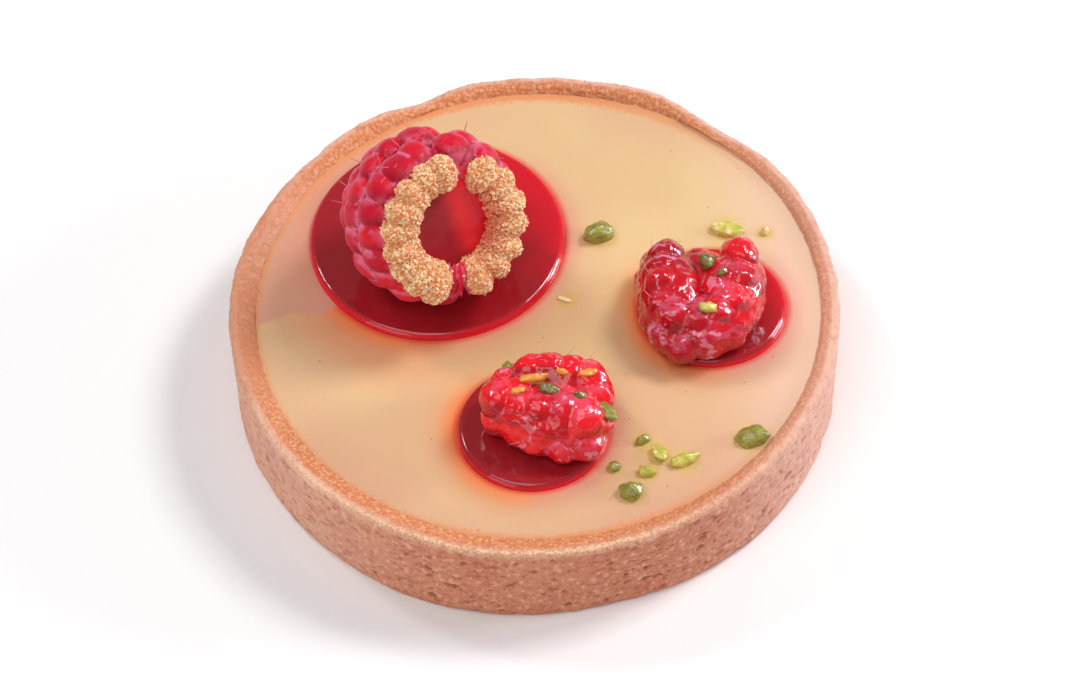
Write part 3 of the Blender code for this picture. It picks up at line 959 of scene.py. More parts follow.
@dataclass
class Crust:
    """The short-crust shell, with its dents, sandy crumb and pores.

    A dent is (angle, half width, size), the angles in degrees. Each relief is (size, height).
    """

    radius: float = 37.5 * MM
    height: float = 13.0 * MM
    base: float = 2.6 * MM
    inner_radius: float = 34.7 * MM
    rim_width: float = 1.9 * MM
    draft: float = 0.5 * MM
    columns: int = 1080
    pitch: float = 0.2 * MM
    unevenness: Pair = (2.6 * MM, 0.16 * MM)
    lumps: Pair = (1.7 * MM, 0.09 * MM)
    grain: Pair = (0.75 * MM, 0.055 * MM)
    sand: Pair = (0.42 * MM, 0.07 * MM)
    pore_sizes: Pair = (1.9 * MM, 1.05 * MM)
    pore_depth: float = 0.32 * MM
    film_angle: float = 172.0
    film_half_width: float = 30.0
    rim_dents: tuple = (
        (29, 9, 0.20 * MM), (49, 8, -0.62 * MM), (65, 6, 0.48 * MM),
        (112, 6, -0.78 * MM), (137, 5, -0.22 * MM), (168, 14, 0.28 * MM),
    )
    foot_dents: tuple = (
        (184, 6, -0.32 * MM), (246, 13, 0.30 * MM), (283, 10, -0.48 * MM), (351, 6, -0.38 * MM),
    )
    height_dents: tuple = (
        (49, 9, -0.22 * MM), (112, 6, -0.30 * MM), (213, 9, -0.30 * MM),
        (256, 6, -0.28 * MM), (309, 9, 0.20 * MM),
    )

    def profile(self) -> Profile:
        """The shell's section, fine where it shows and coarse underneath and behind the cream.

        Returns:
            (radius, height) points that start and end on the axis.
        """
        outer, top, inner = self.radius, self.height, self.inner_radius
        shown = [
            (outer - 1.0 * MM, 0.0),
            (outer - 0.25 * MM, 0.3 * MM),
            (outer, 1.1 * MM),
            (outer, 0.77 * top),
            (outer - 0.05 * MM, top - 0.9 * MM),
            (outer - 0.35 * MM, top - 0.2 * MM),
            (outer - 1.0 * MM, top),
            (outer - self.rim_width, top - 0.35 * MM),
            (inner, CREAM_LEVEL + 0.1 * MM),
        ]
        hidden = [(inner - self.draft, self.base), (0.6 * inner, self.base), (0.0, self.base)]
        return [(0.0, 0.0), (0.5 * outer, 0.0)] + resampled(shown, self.pitch) + hidden

    @staticmethod
    def dented(angle: float, dents: tuple) -> float:
        """The sum of the dents at an angle in radians.

        Args:
            angle: the angle round the shell.
            dents: the dents, as the class gives them.

        Returns:
            The push outwards, in metres.
        """
        total = 0.0
        for middle, half_width, size in dents:
            away = (math.degrees(angle) - middle + 180.0) % 360.0 - 180.0
            total += size * math.exp(-((away / half_width) ** 2))
        return total

    def shape(self, piece: Piece) -> None:
        """Dents the rim and the foot, and shifts the hollow off the middle.

        Args:
            piece: the turned shell.
        """
        points = piece.points()
        crest = self.radius - self.rim_width
        for row, (x, y, z) in enumerate(points):
            radius = math.hypot(x, y)
            if radius < WELD:
                continue
            angle = math.atan2(y, x)
            share = z / self.height
            push = share * self.dented(angle, self.rim_dents)
            push += (1.0 - share) * self.dented(angle, self.foot_dents)
            inward = 0.0
            if z > 0.0:
                inward = min(1.0, max(0.0, (crest - radius) / (crest - self.inner_radius)))
                push += ripple(Vector((x, y, z)), *self.unevenness)
            push *= 1.0 - inward
            points[row] += np.array(HOLLOW_SHIFT) * inward
            points[row, 0] += math.cos(angle) * push
            points[row, 1] += math.sin(angle) * push
            if z > CREAM_LEVEL:
                points[row, 2] += self.dented(angle, self.height_dents) * (1.0 - inward)
        piece.place_points(points)

    @staticmethod
    def pit(place: Vector, size: float, share: float) -> float:
        """How deep a place lies in a scattered pit: 0 outside and 1 at its middle.

        Args:
            place: the point.
            size: how far apart the pits lie.
            share: how many places hold one, 0 to 1.

        Returns:
            The depth, 0 to 1.
        """
        distances, middles = noise.voronoi(place / size)
        chance = hash_of(middles[0])
        if chance > share:
            return 0.0
        width = 0.22 + 0.28 * (chance / share)
        return smooth_step(width, 0.35 * width, distances[0])

    def crumb(self, place: Vector, on_rim: float) -> tuple[float, float]:
        """The crumb's height and the pore's depth at a place.

        Args:
            place: the point.
            on_rim: 1 on the rim, 0 on the wall.

        Returns:
            The height in metres, and how far inside a pore the point lies, 0 to 1.
        """
        size, relief = self.grain
        grain = noise.fractal(place / size, 0.8, 2.1, 3) * relief
        lumps = ripple(place, *self.lumps)
        if on_rim:
            return grain + 0.5 * lumps + ripple(place, *self.sand), 0.0
        front = smooth_step(-0.3, 0.9, (0.5 * place.x - 0.85 * place.y) / self.radius)
        low = 1.0 - 0.6 * place.z / self.height
        patch = 0.5 + noise.noise(place / (7 * MM))
        share = min(0.85, max(0.05, 0.75 * front * low + 0.3 * patch))
        flat = Vector((place.x, place.y, place.z * 1.6)) + noise.noise_vector(place / (0.8 * MM)) * 0.3 * MM
        wide, fine = self.pore_sizes
        pore = max(self.pit(flat, wide, 0.6 * share), 0.8 * self.pit(flat, fine, 0.55 * share))
        return grain + 0.6 * lumps - pore * self.pore_depth, pore

    def build(self) -> None:
        """Makes and dresses the shell."""
        piece = Piece.lathe("crust_shell", self.profile(), self.columns)
        start = piece.points()
        self.shape(piece)
        radius, height = np.hypot(start[:, 0], start[:, 1]), start[:, 2]
        shown = (radius > self.inner_radius - 0.01 * MM) & (height > 0.05 * MM)
        rim = (height > self.height - 0.9 * MM) & shown
        points, normals = piece.points(), piece.normals()
        pores = np.zeros(len(points))
        for row in np.nonzero(shown)[0]:
            rise, pores[row] = self.crumb(Vector(points[row]), float(rim[row]))
            points[row] += normals[row] * rise
        piece.place_points(points)
        angle = np.degrees(np.arctan2(points[:, 1], points[:, 0])) % 360.0
        inset = self.radius - radius
        slope = np.clip((inset - 0.95 * MM) / (0.4 * MM), 0.0, 1.0) * (height > CREAM_LEVEL)
        band = np.exp(-(((angle - self.film_angle) / self.film_half_width) ** 4))
        crest = np.exp(-(((inset - 0.5 * MM) / (0.4 * MM)) ** 2)) * (height > self.height - MM)
        crest *= (0.65 - 0.35 * np.sin(np.radians(angle))) * (1.0 - 0.85 * band)
        film_and_painted_reflection = band * np.clip(slope + (height > self.height - 1.2 * MM), 0.0, 1.0)
        piece.paint("pore", pores).paint("slope", slope).paint("crest", crest)
        piece.paint("foot", np.clip(1.0 - height / (1.3 * MM), 0.0, 1.0)).paint("film_and_painted_reflection", film_and_painted_reflection)
        piece.smooth().dress(PastryFinish("baked_pastry", "crust"), "crust")


@dataclass(frozen=True)
class Disc:
    """One disc of coulis: its node, its middle and its radius, and how it sits in the cream."""

    node: str
    middle: Pair
    radius: float
    sink: float = 0.9 * MM
    edge: float = 0.8 * MM
    edge_sink: float = 0.15 * MM
    hollow: float = 0.1 * MM

    def build(self) -> None:
        """Makes and dresses the disc: flat, a little hollow, with a rounded edge proud of the cream."""
        name = f"{self.node}_gel"
        floor, low = CREAM_LEVEL - self.sink, CREAM_LEVEL - self.edge_sink
        profile = [(0.0, floor), (self.radius, floor)]
        for turn in range(0, 91, 9):
            along = math.radians(turn)
            inset = self.edge * (1.0 - math.cos(along))
            profile.append((self.radius - inset, low + (DISC_TOP - low) * math.sin(along)))
        profile.append((self.radius - 1.8 * MM, DISC_TOP - 0.7 * self.hollow))
        profile += [(share * self.radius, DISC_TOP - self.hollow) for share in (0.5, 0.0)]
        piece = Piece.lathe(name, resampled(profile, 0.8 * MM), 200)
        piece.transform(Matrix.Translation((*self.middle, 0.0)))
        piece.roughen(lambda place: ripple(place, 6 * MM, 0.06 * MM) + ripple(place, 1 * MM, 0.03 * MM))
        piece.smooth().dress(GelFinish(name, "coulis", self.middle, self.radius), self.node)


@dataclass
class LemonCream:
    """The set cream that fills the shell, with a well for each disc."""

    discs: tuple[Disc, ...]
    chips: tuple["Chip", ...]
    radius: float = 35.0 * MM
    bottom: float = 2.9 * MM
    well_floor: float = CREAM_LEVEL - 1.2 * MM
    well_top: float = 14.0 * MM
    swell: float = 0.02 * MM

    def surface(self, place: Vector) -> float:
        """The soft unevenness of the cream's top, with a low swell round each disc.

        Args:
            place: a point of the cream.

        Returns:
            The height in metres, 0 below the top.
        """
        height = ripple(place, 9 * MM, 0.08 * MM)
        for disc in self.discs:
            away = math.hypot(place.x - disc.middle[0], place.y - disc.middle[1]) - disc.radius
            height += self.swell * math.exp(-(((away - 2.2 * MM) / (1.0 * MM)) ** 2))
        return height if place.z > CREAM_LEVEL - 0.5 * MM else 0.0

    def build(self) -> None:
        """Makes and dresses the cream."""
        level, wall = CREAM_LEVEL, self.radius
        top = [
            (wall, level + 0.16 * MM),
            (wall - 0.5 * MM, level + 0.07 * MM),
            (wall - 1.2 * MM, level + 0.02 * MM),
            (wall - 2.5 * MM, level),
            (0.0, level),
        ]
        profile = [(0.0, self.bottom), (wall - 0.95 * MM, self.bottom)] + resampled(top, 0.7 * MM)
        piece = Piece.lathe("lemon_cream_filling", profile, 320)
        piece.transform(Matrix.Translation(HOLLOW_SHIFT)).roughen(self.surface)
        wells = []
        for disc in self.discs:
            low, high, edge = self.well_floor, self.well_top, disc.radius
            outline = [(0.0, low), (edge, low), (edge, high), (0.0, high)]
            well = Piece.lathe(f"well_{disc.node}", outline, 160)
            wells.append(well.transform(Matrix.Translation((*disc.middle, 0.0))))
        piece.cut_by(wells)
        finish = CreamFinish("glazed_lemon_cream", "lemon_cream", self.discs, self.chips)
        piece.smooth(40.0).dress(finish, "lemon_cream")


# ---- the raspberries ------------------------------------------------------------------------------


@dataclass(frozen=True)
class Drupelet:
    """One drupelet: its middle, how it is turned and its half sizes outwards, across and along."""

    middle: Vector
    turn: Matrix
    half_sizes: Vector

    @classmethod
    def facing(cls, middle: Vector, outward: Vector, along: Vector, half_sizes: Vector) -> "Drupelet":
        """A drupelet that points outwards, with its length along the berry.

        Args:
            middle: its middle.
            outward: the way that it points.
            along: the line that its length follows.
            half_sizes: its half sizes outwards, across and along.

        Returns:
            The drupelet.
        """
        outward = outward.normalized()
        across = along.cross(outward).normalized()
        return cls(middle, Matrix((outward, across, outward.cross(across))), half_sizes)

    def matrix(self) -> Matrix:
        """Takes the unit ball to the drupelet."""
        shape = self.turn.transposed() @ Matrix.Diagonal(self.half_sizes)
        return Matrix.Translation(self.middle) @ shape.to_4x4()

    def depth(self, points: np.ndarray) -> tuple[np.ndarray, np.ndarray]:
        """Where points lie on the drupelet.

        Args:
            points: one row each.

        Returns:
            The distance from its middle, 1 on its surface, and the share of that which is outwards.
        """
        local = (points - np.array(self.middle)) @ np.array(self.turn).T / np.array(self.half_sizes)
        distance = np.linalg.norm(local, axis=1)
        return distance, local[:, 0] / np.maximum(distance, 1e-6)


@dataclass
class Berry:
    """What the raspberries share: drupelets fused into one skin, cut flat, with their creases mapped."""

    voxel: float = 0.16 * MM
    relief: float = 0.05 * MM
    softness: int = 3
    crease_passes: int = 36
    crease_depth: float = 0.22 * MM
    reach: float = 1.3
    gilded_reach: float = 1.25
    # the way the painted light falls on the drupelets
    light: Triple = (-0.15, 0.5, 0.85)
    hairs: int = 30
    hair_lengths: Pair = (0.8 * MM, 1.8 * MM)
    hair_lean: float = 0.45

    def skin(self, name: str, drupelets: Sequence[Drupelet], flesh: Sequence[Piece]) -> Piece:
        """Fuses drupelets and flesh into one surface.

        Args:
            name: the piece's name.
            drupelets: all of the berry's drupelets.
            flesh: closed pieces under them.

        Returns:
            The fused berry.
        """
        pattern = Piece.ball("drupelet", 4)
        copies = [pattern.copy(f"drupelet_{n}", one.matrix()) for n, one in enumerate(drupelets)]
        pattern.remove()
        berry = copies[0].absorb([*copies[1:], *flesh])
        berry.rename(name)
        berry.modify("REMESH", mode="VOXEL", voxel_size=self.voxel)
        berry.roughen(lambda place: ripple(place, 2.2 * MM, 2.2 * self.relief))
        berry.modify("SMOOTH", iterations=self.softness, factor=0.5)
        return berry

    def finish_skin(self, berry: Piece, drupelets: Sequence[Drupelet], gilded: int = 0) -> np.ndarray:
        """Cuts the berry flat and stores where each point lies on its drupelet.

        Args:
            berry: the fused berry.
            drupelets: its drupelets.
            gilded: how many of the drupelets, from the first on, are gilded.

        Returns:
            1 for each point that lies on a gilded drupelet, and 0 elsewhere.
        """
        berry.slice_off(Vector((0.0, 0.0, BERRY_FLOOR)), -UP)
        points = berry.points()
        soft = berry.copy("soft", Matrix.Identity(4))
        soft.modify("SMOOTH", iterations=self.crease_passes, factor=0.5)
        hollow = np.einsum("ij,ij->i", soft.points() - points, berry.normals())
        soft.remove()
        nearest, crown = np.full(len(points), np.inf), np.zeros(len(points))
        owner = np.zeros(len(points), int)
        for number, one in enumerate(drupelets):
            distance, outward = one.depth(points)
            closer = distance < nearest
            crown = np.where(closer, outward, crown)
            owner = np.where(closer, number, owner)
            nearest = np.minimum(nearest, distance)
        tints = np.random.default_rng(TINT_SEED).random(len(drupelets)) + self.tone_and_painted_shade(drupelets)
        outwards = np.array([one.turn[0] for one in drupelets])
        # painted light: how far each point turns from its drupelet's axis towards the light, so the finish
        # paints upper sides lighter and lower sides darker
        painted_light = (berry.normals() - outwards[owner]) @ np.array(self.light) * (nearest < self.reach)
        berry.paint("groove", np.clip(hollow / self.crease_depth, -1.0, 1.0)).paint("crown", crown)
        berry.paint("tint", tints[owner]).paint("painted_light", np.clip(painted_light, -1.0, 1.0))
        berry.roughen(lambda place: ripple(place, 0.9 * MM, self.relief))
        return 1.0 * ((owner < gilded) & (nearest < self.gilded_reach))

    def tone_and_painted_shade(self, drupelets: Sequence[Drupelet]) -> np.ndarray:
        """How much brighter each drupelet is than the berry's usual red."""
        return np.zeros(len(drupelets))

    def build_hairs(self, berry: Piece, name: str, finish: Finish) -> None:
        """Sets thin bent hairs on a berry's skin.

        Args:
            berry: the berry.
            name: the name of the hairs' piece.
            finish: what they are made of.
        """
        draw = np.random.default_rng(HAIR_SEED)
        points, normals = berry.points(), berry.normals()
        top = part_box("raspberry_whole")[1].z - 0.4 * MM
        matrices = []
        while len(matrices) < self.hairs:
            row = draw.integers(len(points))
            lean = Vector(normals[row]) + Vector(draw.normal(size=3)) * self.hair_lean
            length = draw.uniform(*self.hair_lengths)
            tip = Vector(points[row]) + lean.normalized() * length
            outside = not BERRY_FLOOR + MM < tip.z < top
            if outside or normals[row][2] < -0.2 or not self.hairy(Vector(points[row])):
                continue
            turn = lean.normalized().to_track_quat("Z", "Y").to_matrix().to_4x4()
            spin = Matrix.Rotation(draw.uniform(0.0, math.tau), 4, "Z")
            shape = Matrix.Diagonal((length, length, length, 1.0))
            matrices.append(Matrix.Translation(points[row]) @ turn @ spin @ shape)
        scatter(name, self.hair(), matrices, tint=draw.random(self.hairs)).smooth().dress(finish)

    def hairy(self, place: Vector) -> bool:
        """Whether hairs grow at a place on the skin."""
        return place.z > BERRY_FLOOR

    @staticmethod
    def hair() -> Piece:
        """One hair of length 1 along Z, tapered and bent.

        Returns:
            The hair.
        """
        profile = [(0.0, 0.0), (0.034, 0.02), (0.03, 0.35), (0.024, 0.7), (0.012, 0.98), (0.0, 1.0)]
        piece = Piece.lathe("hair", resampled(profile, 0.17), 6)
        points = piece.points()
        points[:, 0] += 0.22 * points[:, 2] ** 2
        return piece.place_points(points)


@dataclass
class WholeRaspberry(Berry):
    """The whole raspberry on its side, its mouth to the front, full of coulis and edged with crumb."""

    middle: Vector = field(default_factory=lambda: Vector((-12.0 * MM, 6.4 * MM, CREAM_LEVEL + 11.2 * MM)))
    axis: Vector = field(default_factory=lambda: Vector((0.46, -0.75, 0.48)).normalized())
    radius: float = 9.0 * MM
    mouth: float = 7.1 * MM
    wide: float = 5.6 * MM
    length: float = 15.0 * MM
    arcs: tuple = ((39.0, -84.0, 7), (-131.0, -276.0, 9))
    drupelet: Triple = (2.15 * MM, 2.5 * MM, 2.7 * MM)
    gilded: Triple = (2.45 * MM, 1.85 * MM, 1.95 * MM)
    gold_depth: float = 1.3 * MM
    wobble: float = 2.3 * MM
    drift: Pair = (0.25 * MM, 0.7 * MM)  # of the mouth's drupelets and of the others
    fill: float = 0.5 * MM
    strand: Triple = (0.4 * MM, 0.3 * MM, 2.4 * MM)
    strand_angles: tuple = (-97.0, -104.0, -112.0, -121.0)
    tongue_angle: float = 62.0
    tongue_rise: float = 0.8 * MM
    tongue_half_width: float = 5.5 * MM
    ring_pitch: float = 3.7 * MM
    rings: int = 5
    cavity_radius: float = 4.7 * MM
    cavity_depth: float = 9.0 * MM
    fill_top: float = 0.6 * MM
    voxel: float = 0.19 * MM
    grains: int = 7600
    grain_sizes: Pair = (0.1 * MM, 0.25 * MM)

    @property
    def mouth_centre(self) -> Vector:
        """The middle of the mouth's ring."""
        return self.middle + self.axis * self.wide

    def ring_radius(self, distance: float) -> float:
        """The radius to the drupelets' middles at a distance from the mouth's ring.

        Args:
            distance: how far behind the mouth's ring, in metres.

        Returns:
            The radius in metres.
        """
        if distance < self.wide:
            return self.mouth + (self.radius - self.mouth) * math.sin(0.5 * math.pi * distance / self.wide)
        share = min(1.0, (distance - self.wide) / (self.length - self.wide))
        return self.radius * (1.0 - share**2.2) ** 0.6

    def walk(self) -> list[Pair]:
        """(distance, radius) of each ring, a pitch apart along the side.

        Returns:
            The rings, from the mouth on.
        """
        points, step = [(0.0, self.mouth)], 0.02 * MM
        walked = distance = 0.0
        while distance < self.length - step:
            walked += math.hypot(step, self.ring_radius(distance + step) - self.ring_radius(distance))
            distance += step
            if walked >= self.ring_pitch:
                points.append((distance, self.ring_radius(distance)))
                walked -= self.ring_pitch
        return points[: self.rings]

    def outward(self, angle: float) -> Vector:
        """The direction straight out from the axis at an angle."""
        level = UP.cross(self.axis).normalized()
        return level * math.cos(angle) + self.axis.cross(level) * math.sin(angle)

    def point(self, angle: float, radius: float, distance: float) -> Vector:
        """A point from its angle, its radius and how far inside the mouth it lies."""
        return self.mouth_centre + self.outward(angle) * radius - self.axis * distance

    def drupelets(self) -> list[Drupelet]:
        """Every drupelet, the mouth's ring first, each ring turned by half a drupelet.

        Returns:
            The drupelets.
        """
        spots = []
        for first, last, count in self.arcs:
            spots += [math.radians(first + (last - first) * n / (count - 1)) for n in range(count)]
        ordered = sorted(angle % math.tau for angle in spots)
        between = [(a + b) / 2 for a, b in zip(ordered, ordered[1:] + [ordered[0] + math.tau])]
        made, step = [], 0.1 * MM
        for number, (distance, radius) in enumerate(self.walk()):
            squeeze = min(1.0, radius / self.radius + 0.12)
            slope = (self.ring_radius(distance + step) - self.ring_radius(distance)) / step
            for angle in between if number % 2 else spots:
                middle = self.point(angle, radius, distance)
                normal = (self.outward(angle) + self.axis * max(-2.5, slope)).normalized()
                wobble = noise.noise_vector(middle / self.wobble)
                deep, across, along = self.drupelet if number else self.gilded
                half_sizes = Vector((deep, across * squeeze, along)) * (1.0 + 0.16 * wobble.x)
                shift = (wobble - normal * wobble.dot(normal)) * self.drift[number > 0]
                made.append(Drupelet.facing(middle + shift, normal, self.axis, half_sizes))
        return made

    def hairy(self, place: Vector) -> bool:
        """Hairs grow behind the mouth, not on the crumb or in the hollow."""
        return (place - self.mouth_centre).dot(self.axis) < -2.0 * MM

    def strands(self) -> list[Drupelet]:
        """The thin strands of flesh across the mouth's lower gap.

        Returns:
            The strands, as long thin drupelets.
        """
        made = []
        for degrees in self.strand_angles:
            angle = math.radians(degrees)
            middle = self.point(angle, self.mouth - 0.5 * MM, -0.7 * MM)
            made.append(Drupelet.facing(middle, self.axis, self.outward(angle), Vector(self.strand)))
        return made

    def stain(self, points: np.ndarray) -> np.ndarray:
        """How far coulis has soaked each point: the inner side of the mouth's right half.

        Args:
            points: one row each.

        Returns:
            0 to 1 for each point.
        """
        place = points - np.array(self.mouth_centre)
        place = place - (place @ np.array(self.axis))[:, None] * np.array(self.axis)
        right = place @ np.array(self.outward(math.radians(-10.0)))
        radius = np.linalg.norm(place, axis=1)
        side = np.clip((right / np.maximum(radius, WELD) - 0.3) / 0.5, 0.0, 1.0)
        return side * np.clip((6.9 * MM - radius) / (2.0 * MM), 0.0, 1.0)

    def stand(self) -> Matrix:
        """Takes a piece turned about Z, its top at the mouth, to the berry's place."""
        turn = self.axis.to_track_quat("Z", "Y").to_matrix().to_4x4()
        return Matrix.Translation(self.mouth_centre) @ turn

    def flesh(self) -> Piece:
        """The wall under the drupelets, with the hollow behind the mouth.

        Returns:
            The closed wall.
        """
        outer = [(self.ring_radius(d * MM) + self.fill * min(1.0, d / 3.0), -d * MM) for d in range(0, 15)]
        inner = [
            (0.45 * self.cavity_radius, -self.cavity_depth),
            (0.8 * self.cavity_radius, -0.8 * self.cavity_depth),
            (self.cavity_radius, -2.0 * MM),
            (self.cavity_radius + 0.6 * MM, 0.0),
        ]
        profile = [(0.0, -self.length - 0.6 * MM)] + outer[::-1] + inner[::-1] + [(0.0, -self.cavity_depth)]
        return Piece.lathe("flesh", profile, 96).transform(self.stand())

    def build_coulis(self) -> None:
        """The coulis in the hollow, with a tongue that laps up through the mouth's upper gap."""
        top, edge = -self.fill_top, self.cavity_radius + 0.9 * MM
        bottom = 0.3 * MM - self.cavity_depth
        profile = [
            (0.0, bottom),
            (0.4 * edge, bottom),
            (0.7 * edge, -0.75 * self.cavity_depth),
            (0.82 * edge, -2.4 * MM),
            (edge, top - 0.9 * MM),
            (edge + 0.1 * MM, top + 0.1 * MM),
            (edge - 0.9 * MM, top - 0.05 * MM),
            (0.0, top - 0.25 * MM),
        ]
        piece = Piece.lathe("raspberry_coulis_pool", resampled(profile, 0.5 * MM), 96)
        piece.transform(self.stand())
        angle = math.radians(self.tongue_angle)
        points = piece.points()
        towards = self.outward(angle)
        for row, point in enumerate(points):
            away = Vector(point) - self.mouth_centre
            ahead, along = away.dot(self.axis), away.dot(towards)
            aside = (away - self.axis * ahead - towards * along).length
            if ahead > top - 1.2 * MM:
                rise = self.tongue_rise * smooth_step(-4.5 * MM, 6.5 * MM, along)
                rise *= math.exp(-((aside / self.tongue_half_width) ** 2))
                points[row] += np.array(self.axis) * rise
        piece.place_points(points)
        tongue = Drupelet.facing(
            self.point(angle, 5.8 * MM, 1.0 * MM), self.axis, towards, Vector((0.9, 1.8, 2.0)) * MM
        )
        piece.absorb([Piece.ball("tongue", 4).transform(tongue.matrix())])
        piece.modify("REMESH", mode="VOXEL", voxel_size=0.16 * MM)
        piece.modify("SMOOTH", iterations=70, factor=0.5)
        piece.roughen(lambda place: ripple(place, 3 * MM, 0.12 * MM))
        middle = (self.mouth_centre.x - 0.9 * MM, self.mouth_centre.y - 1.4 * MM)
        # the pool's painted light, as on the discs: brighter towards the upper right
        finish = GelFinish(
            "pool_gel", "coulis", middle, 5.2 * MM, bright=srgb(236, 38, 44), shine=0.25, dusk=0.1, dawn=0.7
        )
        piece.smooth().dress(finish, "raspberry_coulis_fill")

    def build_crumb(self, berry: Piece, gold: np.ndarray) -> None:
        """Scatters crumb over the gilded part of the skin.

        Args:
            berry: the berry's skin.
            gold: each point's share of gold.
        """
        draw = np.random.default_rng(CRUMB_SEED)
        points, normals = berry.points(), berry.normals()
        golden = np.nonzero(gold > draw.uniform(0.05, 0.6, len(gold)))[0]
        chosen = draw.permutation(golden)[: self.grains]
        stain = 0.6 * self.stain(points)[chosen]
        matrices, tints = [], []
        for row in chosen:
            size = draw.uniform(*self.grain_sizes)
            turn = Vector(draw.normal(size=3)).normalized().to_track_quat("Z", "Y").to_matrix().to_4x4()
            thick, long = draw.uniform(0.4, 0.9), draw.uniform(0.8, 1.8)
            shape = Matrix.Diagonal((size, size * thick, size * long, 1.0))
            place = points[row] + normals[row] * 0.04 * MM + draw.normal(size=3) * 0.06 * MM
            matrices.append(Matrix.Translation(place) @ turn @ shape)
            tints.append(draw.random())
        grain = Piece.ball("grain", 1)
        crumb = scatter("raspberry_gold_crumb", grain, matrices, tint=tints, stain=stain)
        crumb.dress(CrumbFinish("gold_crumb", "gold_crumb"))

    def build(self) -> None:
        """Makes and dresses the berry, its coulis, its crumb and its hairs."""
        drupelets = self.drupelets() + self.strands()
        berry = self.skin("raspberry_whole_skin", drupelets, [self.flesh()])
        gold = self.finish_skin(berry, drupelets, gilded=sum(count for _, _, count in self.arcs))
        gold *= (berry.points() - np.array(self.mouth_centre)) @ np.array(self.axis) > -self.gold_depth
        berry.paint("gilt", gold * (1.0 - self.stain(berry.points())))
        berry.smooth(80.0).dress(BerryFinish("whole_raspberry", "raspberry"), "raspberry_whole")
        self.build_hairs(berry, "raspberry_whole_hairs", HAIR)
        self.build_coulis()
        self.build_crumb(berry, gold)


@dataclass(frozen=True)
class Lobe:
    """A soft swelling of a torn raspberry, in millimetres over the coulis, turned about Z."""

    place: Triple
    half_sizes: Triple
    heading: float = 0.0

    def matrix(self) -> Matrix:
        """Takes the unit ball to the lobe.

        Returns:
            The matrix.
        """
        turn = Matrix.Rotation(math.radians(self.heading), 4, "Z")
        shape = Matrix.Diagonal((*self.half_sizes, 1.0))
        lift = Matrix.Translation(UP * DISC_TOP) @ Matrix.Scale(MM, 4)
        return lift @ Matrix.Translation(self.place) @ turn @ shape


@dataclass(frozen=True)
class Row:
    """A row of drupelets along a bent line. Its points are in millimetres over the coulis."""

    first: Triple
    bend: Triple
    last: Triple
    count: int
    size: float = 2.1

    def drupelets(self, middle: Vector, seed: float) -> list[Drupelet]:
        """The row's drupelets, each turned away from the berry's middle.

        Args:
            middle: the berry's middle.
            seed: shifts the noise that varies their sizes.

        Returns:
            The drupelets from first to last.
        """
        corners = (self.first, self.bend, self.last)
        first, bend, last = (Vector(corner) * MM + UP * DISC_TOP for corner in corners)
        made = []
        for number in range(self.count):
            share = number / max(1, self.count - 1)
            place = first.lerp(bend, share).lerp(bend.lerp(last, share), share)
            along = (bend.lerp(last, share) - first.lerp(bend, share)).normalized()
            wobble = noise.noise_vector(place / (1.7 * MM) + Vector((seed, 0.0, 0.0)))
            size = self.size * MM * (1.0 + 0.25 * wobble.x)
            half_sizes = Vector((1.0, 1.0 + 0.25 * wobble.y, 1.1 + 0.3 * wobble.z)) * size
            made.append(Drupelet.facing(place + wobble * 0.4 * MM, place - middle, along, half_sizes))
        return made


@dataclass
class TornRaspberry(Berry):
    """A raspberry torn open, wet with coulis: drupelets fused on lobes of soft flesh round a hollow."""

    node: str = ""
    middle: Triple = (0.0, 0.0, 1.6)
    lobes: tuple[Lobe, ...] = ()
    rows: tuple[Row, ...] = ()
    voxel: float = 0.15 * MM
    relief: float = 0.13 * MM
    softness: int = 7
    hairs: int = 14
    painted_shade: float = 0.0
    ripeness: float = 0.0

    def tone_and_painted_shade(self, drupelets: Sequence[Drupelet]) -> np.ndarray:
        """Brighter by the berry's ripeness, with painted shade: darker to the left and brighter to the
        right.
        """
        away = np.array([one.middle - Vector(self.middle) * MM for one in drupelets])
        # painted shade and light across the berry, plus its own ripeness
        return self.painted_shade * np.clip(away[:, 0] / (6 * MM), -0.6, 0.6) + self.ripeness

    def build(self) -> Piece:
        """Makes and dresses the torn berry, and returns it for its chips.

        Returns:
            The berry's skin.
        """
        middle = Vector(self.middle) * MM + UP * DISC_TOP
        drupelets = [one for n, row in enumerate(self.rows) for one in row.drupelets(middle, 7.0 * n)]
        flesh = [Piece.ball("flesh", 5).transform(lobe.matrix()) for lobe in self.lobes]
        berry = self.skin(f"{self.node}_flesh", drupelets, flesh)
        berry.paint("gilt", np.zeros(len(berry.points())))
        self.finish_skin(berry, drupelets)
        wet_and_painted_light = {"wetness_and_glints": 1.0, "painted_rim_sheen": 0.45, "painted_and_shader_sheen": 0.0, "painted_light": 0.28}
        finish = BerryFinish(
            "torn_raspberry", "raspberry", flesh=srgb(184, 6, 28), bright=srgb(244, 24, 36), **wet_and_painted_light
        )
        berry.smooth(80.0).dress(finish, self.node)
        self.build_hairs(berry, f"{self.node}_hairs", HAIR)
        return berry


# ---- pistachio ------------------------------------------------------------------------------------


class Tone(Enum):
    """The colours of chopped pistachio, as places along the finish's range."""

    OLIVE = 0.08
    GREEN = 0.3
    LIME = 0.62
    YELLOW = 0.76
    PALE = 0.88
    AMBER = 1.25


